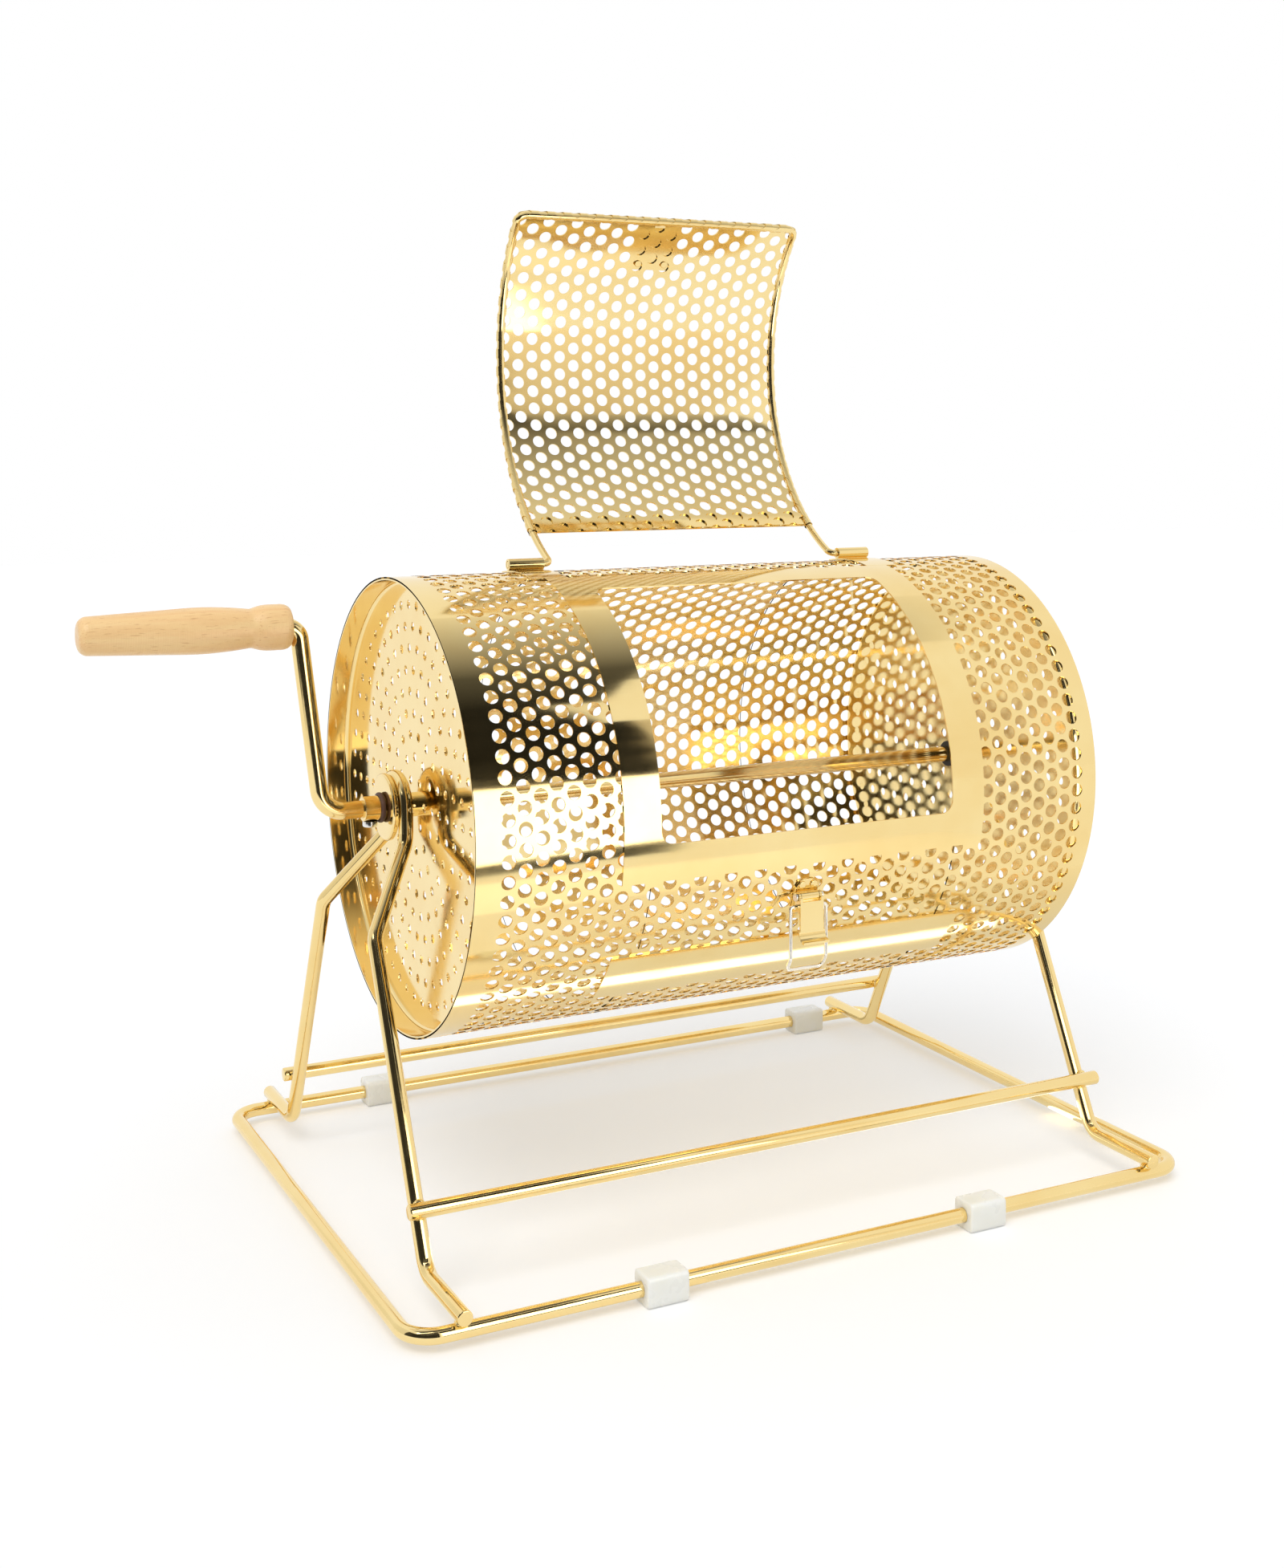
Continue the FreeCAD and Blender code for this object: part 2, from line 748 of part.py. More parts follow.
def latch_rivet_foot(step, radius):
    """A point on the axis of one of the latch base's rivets, above its barrel."""
    rise = latch_base_up - rivet_head_d * 0.75
    return drum_point(drum_offset + step * latch_base_w / 4, radius, latch_angle).add(downwards(latch_angle) * -rise)


def latch_rivet_hole(step):
    """A cutter through the drum and the latch base at one rivet."""
    start = latch_rivet_foot(step, drum_r - sheet_t - 3.0)
    return Part.makeCylinder(rivet_d / 2 + weld_gap, sheet_t + 10.0, start, outwards(latch_angle))


def latch_base():
    """The fixed plate of the latch: a flat plate with an arched top and a rolled barrel."""
    out = outwards(latch_angle)
    down = downwards(latch_angle)
    seat = drum_point(drum_offset, plate_in_r, latch_angle)
    half = latch_base_w / 2
    arch_drop = latch_base_up - half
    left_low = seat.add(down * latch_base_down).add(V(-half, 0, 0))
    right_low = seat.add(down * latch_base_down).add(V(half, 0, 0))
    right_high = seat.add(down * -arch_drop).add(V(half, 0, 0))
    left_high = seat.add(down * -arch_drop).add(V(-half, 0, 0))
    crown = seat.add(down * -latch_base_up)
    outline = Part.Wire(
        [
            Part.makeLine(left_low, right_low),
            Part.makeLine(right_low, right_high),
            Part.Arc(right_high, crown, left_high).toShape(),
            Part.makeLine(left_high, left_low),
        ]
    )
    plate = Part.Face(outline).extrude(out * latch_plate_t)
    pin = drum_point(0, pin_radius, latch_angle)
    barrel = bar_x(barrel_r, drum_offset - barrel_len / 2, drum_offset + barrel_len / 2, pin.y, pin.z)
    web_base = drum_point(drum_offset - barrel_len / 2, plate_in_r + latch_plate_t / 2, latch_angle)
    web_face = Part.makePolygon(
        [
            web_base.add(down * -latch_plate_t),
            web_base.add(down * latch_plate_t),
            web_base.add(down * latch_plate_t).add(out * barrel_r),
            web_base.add(down * -latch_plate_t).add(out * barrel_r),
            web_base.add(down * -latch_plate_t),
        ]
    )
    web = Part.Face(web_face).extrude(V(barrel_len, 0, 0))
    body = joined([plate, web, barrel])
    body = body.cut(bar_x(pin_r + press_gap, drum_offset - half - 1, drum_offset + half + 1, pin.y, pin.z))
    for step in (-1, 1):
        body = body.cut(latch_rivet_hole(step))
    return body


def latch_rivets():
    """Two rivets that hold the latch base to the drum."""
    out = outwards(latch_angle)
    inner_radius = drum_r - sheet_t - 3 * seat_gap
    outer_radius = plate_in_r + latch_plate_t + weld_gap
    rivets = []
    for step in (-1, 1):
        inner = latch_rivet_foot(step, inner_radius)
        outer = latch_rivet_foot(step, outer_radius)
        shank = straight(inner, outer, rivet_d / 2)
        tail = Part.makeCylinder(rivet_head_d / 2, rivet_head_t, inner, out.negative())
        head = Part.makeCylinder(rivet_head_d / 2, rivet_head_t, outer, out)
        rivets.append(joined([shank, tail, head]))
    return Part.makeCompound(rivets)


def ear_outer():
    """How far the lever's ears reach from the latch's middle."""
    return barrel_len / 2 + ear_gap + ear_t


def latch_pin():
    """The pin that the lever turns on, with a head at each end."""
    pin = drum_point(0, pin_radius, latch_angle)
    reach = ear_outer() + ear_gap
    rod = bar_x(pin_r, drum_offset - reach, drum_offset + reach, pin.y, pin.z)
    heads = []
    for side in (-1, 1):
        x0, x1 = sorted((drum_offset + side * reach, drum_offset + side * (reach + latch_pin_head_t)))
        heads.append(bar_x(latch_pin_head_d / 2, x0, x1, pin.y, pin.z))
    return joined([rod] + heads)


def latch_lever():
    """The finger lever: two ears on the pin, a plate between them and a curled tab."""
    pin = drum_point(0, pin_radius, latch_angle)
    front = barrel_r + ear_gap
    back = barrel_r
    face_y = pin.y - front
    outer_y = face_y - latch_plate_t
    ears = []
    for side in (-1, 1):
        x0, x1 = sorted((drum_offset + side * (barrel_len / 2 + ear_gap), drum_offset + side * ear_outer()))
        low = pin.z - bail_drop - 3.0
        cheek = Part.makeBox(x1 - x0, back * 0.7 + front + latch_plate_t, pin.z - low, V(x0, outer_y, low))
        ears.append(cheek)
        ears.append(bar_x(back, x0, x1, pin.y, pin.z))
    top = pin.z - barrel_r * 0.8
    curl_z = pin.z - lever_len
    plate_corner = V(drum_offset - ear_outer(), outer_y, curl_z)
    plate = Part.makeBox(2 * ear_outer(), latch_plate_t, top - curl_z, plate_corner)
    tab_x = drum_offset - tab_w / 2
    centre = V(tab_x, outer_y - tab_r + latch_plate_t, curl_z)
    curl_out = Part.Arc(
        V(tab_x, centre.y + tab_r, curl_z),
        V(tab_x, centre.y + tab_r * math.cos(math.pi / 4), curl_z - tab_r * math.sin(math.pi / 4)),
        V(tab_x, centre.y, curl_z - tab_r),
    ).toShape()
    inner_r = tab_r - latch_plate_t
    curl_in = Part.Arc(
        V(tab_x, centre.y, curl_z - inner_r),
        V(tab_x, centre.y + inner_r * math.cos(math.pi / 4), curl_z - inner_r * math.sin(math.pi / 4)),
        V(tab_x, centre.y + inner_r, curl_z),
    ).toShape()
    ends = [
        Part.makeLine(V(tab_x, centre.y, curl_z - tab_r), V(tab_x, centre.y, curl_z - inner_r)),
        Part.makeLine(V(tab_x, centre.y + inner_r, curl_z), V(tab_x, centre.y + tab_r, curl_z)),
    ]
    tab = Part.Face(Part.Wire([curl_out, ends[0], curl_in, ends[1]])).extrude(V(tab_w, 0, 0))
    lever = joined(ears + [plate, tab])
    reach = ear_outer() + 1
    lever = lever.cut(bar_x(pin_r + running_gap, drum_offset - reach, drum_offset + reach, pin.y, pin.z))
    bail_bore = bail_wire_d / 2 + running_gap
    return lever.cut(bar_x(bail_bore, drum_offset - reach, drum_offset + reach, pin.y, pin.z - bail_drop))


def latch_bail():
    """The wire bail: two ends in the lever's ears, two legs and a cross bar."""
    pin = drum_point(0, pin_radius, latch_angle)
    top = pin.z - bail_drop
    low = top - bail_len
    end = ear_outer() - ear_t - 0.1
    points = [
        V(drum_offset - end, pin.y, top),
        V(drum_offset - bail_half_w, pin.y, top),
        V(drum_offset - bail_half_w, pin.y, low),
        V(drum_offset + bail_half_w, pin.y, low),
        V(drum_offset + bail_half_w, pin.y, top),
        V(drum_offset + end, pin.y, top),
    ]
    small = bail_wire_d * 0.75
    return bent_wire(points, [small, bail_bend_r, bail_bend_r, small], bail_wire_d / 2)


def all_parts():
    """Every piece of the object, by node name."""
    return {
        "base_loop": base_loop(),
        "left_side_frame": side_frame(-1, left_arch_x),
        "right_side_frame": side_frame(1, right_arch_x),
        "front_cross_rod": cross_rod(-1),
        "rear_cross_rod": cross_rod(1),
        "left_bearing_disc": bearing_disc(-1, left_arch_x),
        "right_bearing_disc": bearing_disc(1, right_arch_x),
        "front_left_foot": plastic_foot(front_foot_x[0], -1),
        "front_right_foot": plastic_foot(front_foot_x[1], -1),
        "rear_left_foot": plastic_foot(rear_foot_x[0], 1),
        "rear_right_foot": plastic_foot(rear_foot_x[1], 1),
        "drum_shell": drum_shell(),
        "left_end_cap": end_cap(-1),
        "right_end_cap": end_cap(1),
        "door_frame_plate": door_frame_plate(),
        "latch_strip": latch_strip(),
        "left_hub_tube": left_hub_tube(),
        "right_hub_tube": right_hub_tube(),
        "crank_axle": crank_axle(),
        "crank_set_screw": crank_set_screw(),
        "outer_friction_ring": outer_friction_ring(),
        "inner_friction_ring": inner_friction_ring(),
        "crank_grip": crank_grip(),
        "grip_ring": grip_ring(),
        "left_hinge_clip": hinge_clip(-1),
        "right_hinge_clip": hinge_clip(1),
        "door_panel": door_panel(),
        "door_wire": door_wire(),
        "door_keeper": door_keeper(),
        "keeper_rivets": keeper_rivets(),
        "latch_base": latch_base(),
        "latch_rivets": latch_rivets(),
        "latch_pin": latch_pin(),
        "latch_lever": latch_lever(),
        "latch_bail": latch_bail(),
    }


def main():
    """Write one STEP file per piece, in the object's own frame."""
    os.makedirs("parts", exist_ok=True)
    for name, shape in all_parts().items():
        shape.translate(V(-object_mid_x, 0, 0))
        shape.exportStep("parts/" + name + ".step")
        box = shape.BoundBox
        reach = (box.XMin, box.XMax, box.YMin, box.YMax, box.ZMin, box.ZMax)
        volume = round(shape.Volume)
        print(name, len(shape.Solids), shape.isValid(), volume, [round(value, 1) for value in reach])


main()
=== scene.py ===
"""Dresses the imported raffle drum: perforated gold sheet, bent wire, a turned grip and a small latch.

Lengths are millimetres in the stand's own frame, whose X origin lies under the middle of the stand. They
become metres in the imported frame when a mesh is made. Angles round the drum are degrees up from the
horizontal at the front, about the axle.
"""

import json
import logging
import math
from dataclasses import dataclass
from enum import Enum
from typing import Optional

import bpy
import numpy as np
from mathutils import Matrix, Vector

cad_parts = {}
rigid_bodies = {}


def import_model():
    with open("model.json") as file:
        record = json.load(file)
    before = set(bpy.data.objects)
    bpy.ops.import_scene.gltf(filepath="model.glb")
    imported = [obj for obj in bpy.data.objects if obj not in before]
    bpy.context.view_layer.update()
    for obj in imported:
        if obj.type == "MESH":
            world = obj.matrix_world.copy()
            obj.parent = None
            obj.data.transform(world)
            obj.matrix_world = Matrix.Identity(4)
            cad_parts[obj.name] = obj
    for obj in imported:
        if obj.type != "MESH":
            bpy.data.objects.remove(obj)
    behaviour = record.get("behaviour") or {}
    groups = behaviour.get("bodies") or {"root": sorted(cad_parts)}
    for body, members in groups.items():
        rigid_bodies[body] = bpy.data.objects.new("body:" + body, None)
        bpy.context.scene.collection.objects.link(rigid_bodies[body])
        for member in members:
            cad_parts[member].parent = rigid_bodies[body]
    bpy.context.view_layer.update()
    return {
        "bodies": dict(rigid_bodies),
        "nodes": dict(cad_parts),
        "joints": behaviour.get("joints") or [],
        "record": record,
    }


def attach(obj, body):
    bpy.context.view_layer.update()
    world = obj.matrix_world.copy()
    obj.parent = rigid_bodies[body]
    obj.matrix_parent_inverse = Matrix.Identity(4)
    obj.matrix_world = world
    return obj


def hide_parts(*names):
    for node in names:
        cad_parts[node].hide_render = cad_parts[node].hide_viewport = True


Array = np.ndarray
Colour = tuple[float, float, float, float]
Corner = tuple[float, float, float]

LOG = logging.getLogger("raffle_drum")
STAND_SHIFT = 54.4
AXLE_Z = 225.0
DRUM_MIDDLE = 11.0


class End(Enum):
    """The two ends of the drum and of the stand."""

    LEFT = -1
    RIGHT = 1


class Face(Enum):
    """The front and the rear of the stand."""

    FRONT = -1
    REAR = 1


class Slot(Enum):
    """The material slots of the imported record."""

    WIRE = "gold_wire"
    SHEET = "gold_sheet"
    TUBE = "gold_tube"
    ROD = "gold_rod"
    PALE_WIRE = "pale_wire"
    STEEL = "bright_steel"
    PLASTIC = "clear_plastic"
    BEECH = "beech"
    BROWN_RUBBER = "brown_rubber"
    BLACK_RUBBER = "black_rubber"


def unit(vectors: Array) -> Array:
    """Vectors over their own lengths, with none divided by nought."""
    size = np.linalg.norm(vectors, axis=-1, keepdims=True)
    return vectors / np.maximum(size, 1e-12)


def round_drum(x: Array, radius: Array, angle: Array) -> Array:
    """Points round the axle: y is minus r cos a, and z is the axle's height plus r sin a.

    Args:
        x: Places along the axle.
        radius: Distances from the axle.
        angle: Degrees up from the front.

    Returns:
        The points, with their coordinates in the last axis.
    """
    x, radius, turn = np.broadcast_arrays(x, radius, np.radians(angle))
    return np.stack([x, -radius * np.cos(turn), AXLE_Z + radius * np.sin(turn)], axis=-1)


def outward(angle: Array) -> Array:
    """Unit vectors away from the axle: (0, minus cos a, sin a)."""
    turn = np.radians(angle)
    return np.stack([np.zeros_like(turn), -np.cos(turn), np.sin(turn)], axis=-1)


@dataclass
class Surface:
    """Triangles with, where the shape is known exactly, a normal for each of their corners."""

    points: Array
    faces: Array
    normals: Optional[Array] = None

    @staticmethod
    def joined(parts: list["Surface"]) -> "Surface":
        """One surface from several that stay separate shells.

        Args:
            parts: The surfaces.

        Returns:
            All their triangles, with nought for the normals that a part doesn't give.
        """
        start = np.cumsum([0] + [len(part.points) for part in parts[:-1]])
        faces = [part.faces + first for part, first in zip(parts, start)]
        normals = None
        if any(part.normals is not None for part in parts):
            blank = [np.zeros((len(part.faces), 3, 3)) for part in parts]
            given = [b if p.normals is None else p.normals for p, b in zip(parts, blank)]
            normals = np.concatenate(given)
        return Surface(np.concatenate([part.points for part in parts]), np.concatenate(faces), normals)


def weld(points: Array, faces: Array) -> tuple[Array, Array]:
    """Joins corners that share a place, and drops the triangles that close up to nothing.

    Args:
        points: The corners.
        faces: Triangles as indices of corners.

    Returns:
        The index of one corner for each place that is used, and the triangles in those places.
    """
    keys = np.floor(points * 2000.0 + 0.237).astype(np.int64)
    _, first, place = np.unique(keys, axis=0, return_index=True, return_inverse=True)
    faces = place.reshape(-1)[faces]
    a, b, c = (points[first[faces[:, corner]]] for corner in range(3))
    faces = faces[np.linalg.norm(np.cross(b - a, c - a), axis=1) > 1e-5]
    used, packed = np.unique(faces, return_inverse=True)
    return first[used], packed.reshape(faces.shape)


def grid_faces(rows: int, columns: int, wrap_rows: bool, wrap_columns: bool) -> Array:
    """Two triangles for each cell of a grid, facing along the column step crossed with the row step.

    Args:
        rows: Points one way.
        columns: Points the other way.
        wrap_rows: Whether the last row joins the first.
        wrap_columns: Whether the last column joins the first.

    Returns:
        The triangles as indices into the grid, row by row.
    """
    row, column = np.meshgrid(
        np.arange(rows if wrap_rows else rows - 1),
        np.arange(columns if wrap_columns else columns - 1),
        indexing="ij",
    )
    row_after, column_after = (row + 1) % rows, (column + 1) % columns
    a = (row * columns + column).ravel()
    b = (row * columns + column_after).ravel()
    c = (row_after * columns + column_after).ravel()
    d = (row_after * columns + column).ravel()
    return np.concatenate([np.stack([a, b, c], 1), np.stack([a, c, d], 1)])


def closed_shell(grid: Array, wrap_rows: bool) -> Surface:
    """A closed surface from a grid of rings, turned outwards by the sign of the volume that it holds.

    Args:
        grid: Points, with the rings in the first axis.
        wrap_rows: Whether the last ring joins the first. Otherwise both end in a pole.

    Returns:
        The surface.
    """
    rows, columns = grid.shape[:2]
    points = grid.reshape(-1, 3)
    kept, faces = weld(points, grid_faces(rows, columns, wrap_rows, True))
    points = points[kept]
    a, b, c = (points[faces[:, corner]] for corner in range(3))
    if np.einsum("ij,ij->", a, np.cross(b, c)) < 0:
        faces = faces[:, ::-1]
    return Surface(points, faces)


def sheet(front: Array, back: Array, normals: Array, faces: Array) -> Surface:
    """A sheet with thickness: its front, its back turned over, and a wall along each edge used once.

    Args:
        front: Points of the front.
        back: The same points on the back.
        normals: Unit normals of the front.
        faces: Triangles between the points.

    Returns:
        The closed surface, with exact normals on the front and the back.
    """
    kept, faces = weld(front, faces)
    front, back, normals = front[kept], back[kept], normals[kept]
    a, b, c = (front[faces[:, corner]] for corner in range(3))
    if np.einsum("ij,ij->", np.cross(b - a, c - a), normals[faces[:, 0]]) < 0:
        faces = faces[:, ::-1]
    count = len(front)
    edges = np.concatenate([faces[:, [0, 1]], faces[:, [1, 2]], faces[:, [2, 0]]])
    ahead = edges[:, 0].astype(np.int64) * count + edges[:, 1]
    behind = edges[:, 1].astype(np.int64) * count + edges[:, 0]
    rim = edges[~np.isin(ahead, behind)]
    start, end = rim[:, 0], rim[:, 1]
    walls = np.concatenate(
        [np.stack([end, start, start + count], 1), np.stack([end, start + count, end + count], 1)]
    )
    corner_normals = normals[faces]
    corner_normals = np.concatenate(
        [corner_normals, -corner_normals[:, ::-1], np.zeros((len(walls), 3, 3))]
    )
    return Surface(
        np.concatenate([front, back]),
        np.concatenate([faces, faces[:, ::-1] + count, walls]),
        corner_normals,
    )


def bent_path(corners: Array, bends: list[float], closed: bool = False, steps: int = 10) -> Array:
    """A centre line of straight runs joined by arcs that touch both.

    With unit directions a before a corner and b after it, and the turn t between them, the arc of radius r
    starts r tan(t/2) before the corner. A point after a turn s is its centre plus r (a sin s minus n cos s),
    where n points from the start to the centre.

    Args:
        corners: The polyline.
        bends: The arc's radius at each corner, without the two ends where it is open.
        closed: Whether the last run goes back to the first corner.
        steps: Straight steps in each arc.

    Returns:
        The points of the line.
    """
    corners = np.asarray(corners, float)
    count = len(corners)
    inner = range(count) if closed else range(1, count - 1)
    runs = [] if closed else [corners[:1]]
    for k, bend in zip(inner, bends):
        before = unit(corners[k] - corners[k - 1])
        after = unit(corners[(k + 1) % count] - corners[k])
        turn = math.acos(float(np.clip(before @ after, -1.0, 1.0)))
        inward = unit(after - before * (before @ after))
        start = corners[k] - before * bend * math.tan(turn / 2)
        swing = np.linspace(0.0, turn, steps + 1)[:, None]
        runs.append(start + inward * bend + bend * (before * np.sin(swing) - inward * np.cos(swing)))
    if not closed:
        runs.append(corners[-1:])
    return np.concatenate(runs)


def wire(
    path: Array,
    radius: float,
    guide: Array,
    closed: bool = False,
    sides: int = 24,
    end_round: float = 0.8,
) -> Surface:
    """A round wire along a path: a point is c + r (n cos a + b sin a).

    Here n is the guide squared to the path, and b is square to both.

    Args:
        path: The centre line.
        radius: The wire's radius.
        guide: A direction, or one for each point, that the path never follows.
        closed: Whether the path is a loop.
        sides: Points round the wire.
        end_round: The rounding of a free end's edge.

    Returns:
        The closed surface.
    """
    leg = unit(np.diff(path, axis=0, append=path[:1])) if closed else unit(np.diff(path, axis=0))
    behind = np.roll(leg, 1, axis=0) if closed else np.concatenate([leg[:1], leg])
    ahead = leg if closed else np.concatenate([leg, leg[-1:]])
    along = unit(ahead + behind)
    guide = np.broadcast_to(np.asarray(guide, float), path.shape)
    lean = unit(guide - along * np.einsum("ij,ij->i", guide, along)[:, None])
    centre, reach = path, np.full(len(path), radius)
    if not closed:
        quarter = np.linspace(0.0, math.pi / 2, 5)
        inset = np.concatenate([[0.0], end_round * (1.0 - np.cos(quarter))])
        size = np.concatenate([[0.0], radius - end_round + end_round * np.sin(quarter)])
        first = path[0] + along[0] * inset[:, None]
        last = path[-1] - along[-1] * inset[::-1, None]
        centre = np.concatenate([first, path[1:-1], last])
        reach = np.concatenate([size, reach[1:-1], size[::-1]])
        ends = len(inset)
        copies = np.ones(len(path), int)
        copies[[0, -1]] = ends
        along, lean = np.repeat(along, copies, 0), np.repeat(lean, copies, 0)
    across = np.cross(along, lean)
    swing = np.linspace(0.0, 2 * math.pi, sides, endpoint=False)[None, :, None]
    ring = lean[:, None] * np.cos(swing) + across[:, None] * np.sin(swing)
    return closed_shell(centre[:, None] + reach[:, None, None] * ring, closed)


def turned(profile: Array, z: float = AXLE_Z, closed: bool = False, sides: int = 72) -> Surface:
    """A turned shape about a line along X: a point is (x, r cos a, z + r sin a).

    Args:
        profile: Pairs of x and r.
        z: How high the line lies.
        closed: Whether the profile is a loop clear of the line. Otherwise it starts and ends on it.
        sides: Points round the shape.

    Returns:
        The closed surface.
    """
    swing = np.linspace(0.0, 2 * math.pi, sides, endpoint=False)
    x, reach = profile[:, :1], profile[:, 1:]
    x, a, b = np.broadcast_arrays(x, reach * np.cos(swing), z + reach * np.sin(swing))
    return closed_shell(np.stack([x, a, b], axis=-1), closed)


def eased_ring(
    inner: float, outer: float, x0: float, x1: float, ease: float, bore_ease: float = 0.15
) -> Array:
    """The looped profile of a ring along X, with its outer edges rounded."""
    corners = np.array([[x0, inner], [x1, inner], [x1, outer], [x0, outer]])
    return bent_path(corners, [bore_ease, bore_ease, ease, ease], closed=True, steps=8)


def honeycomb(
    centres: Array, pitch: float, hole_r: float, is_open: Array, squash: float = 1.0
) -> tuple[Array, Array]:
    """Hexagonal cells of flat sheet, each with a round hole.

    A cell's border has its six corners at the distance pitch over root three, and two points on each side.
    Its hole's rim has a point for each. Where the cell is plain, the rim closes up in the middle.

    Args:
        centres: The middles of the cells, (u, v).
        pitch: The distance between neighbours, one of whose directions is v.
        hole_r: The radius of the holes.
        is_open: Which cells have a hole.
        squash: How much closer the columns stand along u than in an even honeycomb.

    Returns:
        The flat points and the triangles.
    """
    sixth = np.radians(60.0 * np.arange(6))
    corner = pitch / math.sqrt(3.0) * np.stack([squash * np.cos(sixth), np.sin(sixth)], 1)
    after = np.roll(corner, -1, axis=0)
    border = np.stack([corner, corner * 2 / 3 + after / 3, corner / 3 + after * 2 / 3], 1).reshape(-1, 2)
    swing = np.linspace(0.0, 2 * math.pi, len(border), endpoint=False)
    rim = hole_r * np.stack([np.cos(swing), np.sin(swing)], 1)
    flat = np.stack(
        [centres[:, None] + border, centres[:, None] + rim * is_open[:, None, None]],
        axis=1,
    )
    one = grid_faces(2, len(border), False, True)[:, ::-1]
    faces = one[None] + (np.arange(len(centres)) * 2 * len(border))[:, None, None]
    return flat.reshape(-1, 2), faces.reshape(-1, 3)


def kept_inside(
    flat: Array, low: tuple[float, float], high: tuple[float, float], corner_r: float = 0.0
) -> Array:
    """Flat points moved onto a rectangle's border where they are past it.

    Past a rounded corner, a point goes to the arc along the line to the arc's centre.

    Args:
        flat: Points (u, v).
        low: The lowest corner.
        high: The highest corner.
        corner_r: The rounding of the two corners at the low end of v.

    Returns:
        The moved points.
    """
    flat = np.clip(flat, low, high)
    if corner_r:
        middle = np.clip(flat[:, 0], low[0] + corner_r, high[0] - corner_r)
        heart = np.stack([middle, np.maximum(flat[:, 1], low[1] + corner_r)], 1)
        away = flat - heart
        far = np.linalg.norm(away, axis=1, keepdims=True)
        flat = np.where(far > corner_r, heart + away / np.maximum(far, 1e-9) * corner_r, flat)
    return flat


@dataclass(frozen=True)
class Workshop:
    """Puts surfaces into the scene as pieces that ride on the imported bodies."""

    frame: dict

    def piece(
        self,
        name: str,
        surface: Surface,
        material: bpy.types.Material,
        body: str,
        slot: Slot,
        stands_for: tuple[str, ...] = (),
        sharp: float = 38.0,
    ) -> bpy.types.Object:
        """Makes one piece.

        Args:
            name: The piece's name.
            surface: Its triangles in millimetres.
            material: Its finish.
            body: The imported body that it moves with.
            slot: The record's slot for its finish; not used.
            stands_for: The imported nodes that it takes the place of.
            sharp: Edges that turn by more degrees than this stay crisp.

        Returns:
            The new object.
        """
        place = (surface.points + np.array([STAND_SHIFT, 0.0, 0.0])) / 1000.0
        mesh = bpy.data.meshes.new(name)
        mesh.vertices.add(len(place))
        mesh.vertices.foreach_set("co", place.astype(np.float32).ravel())
        mesh.loops.add(surface.faces.size)
        mesh.loops.foreach_set("vertex_index", surface.faces.astype(np.int32).ravel())
        mesh.polygons.add(len(surface.faces))
        mesh.polygons.foreach_set("loop_start", np.arange(0, surface.faces.size, 3, dtype=np.int32))
        mesh.polygons.foreach_set("use_smooth", np.ones(len(surface.faces), bool))
        mesh.update(calc_edges=True)
        mesh.set_sharp_from_angle(angle=math.radians(sharp))
        if surface.normals is not None:
            mesh.normals_split_custom_set(surface.normals.reshape(-1, 3))
        mesh.materials.append(material)
        made = bpy.data.objects.new(name, mesh)
        bpy.context.scene.collection.objects.link(made)
        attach(made, body)
        if stands_for:
            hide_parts(*stands_for)
        LOG.info("%s: %d triangles on %s", name, len(surface.faces), body)
        return made

    def eased_copy(
        self, node: str, material: bpy.types.Material, body: str, slot: Slot, ease: float
    ) -> None:
        """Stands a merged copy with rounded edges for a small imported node.

        Args:
            node: The node.
            material: The copy's finish.
            body: The body that it moves with.
            slot: The record's slot.
            ease: The rounding of its edges in millimetres.
        """
        source = self.frame["nodes"][node].data
        source.calc_loop_triangles()
        points = np.empty(len(source.vertices) * 3, np.float32)
        source.vertices.foreach_get("co", points)
        corners = np.empty(len(source.loop_triangles) * 3, np.int32)
        source.loop_triangles.foreach_get("vertices", corners)
        points = points.reshape(-1, 3).astype(float) * 1000.0 - np.array([STAND_SHIFT, 0.0, 0.0])
        kept, faces = weld(points, corners.reshape(-1, 3))
        made = self.piece(node + "_eased", Surface(points[kept], faces), material, body, slot, (node,))
        flat = made.modifiers.new("flat", "DECIMATE")
        flat.decimate_type = "DISSOLVE"
        flat.angle_limit = math.radians(1.0)
        bevel = made.modifiers.new("ease", "BEVEL")
        bevel.width = ease / 1000.0
        bevel.segments = 3
        bevel.limit_method = "ANGLE"
        bevel.angle_limit = math.radians(38.0)
        bevel.harden_normals = True

    def dress(self, node: str, material: bpy.types.Material) -> None:
        """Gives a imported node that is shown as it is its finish.

        Args:
            node: The node.
            material: Its finish.
        """
        shown = self.frame["nodes"][node]
        shown.data.materials.clear()
        shown.data.materials.append(material)
        LOG.info("%s: shown as packed", node)


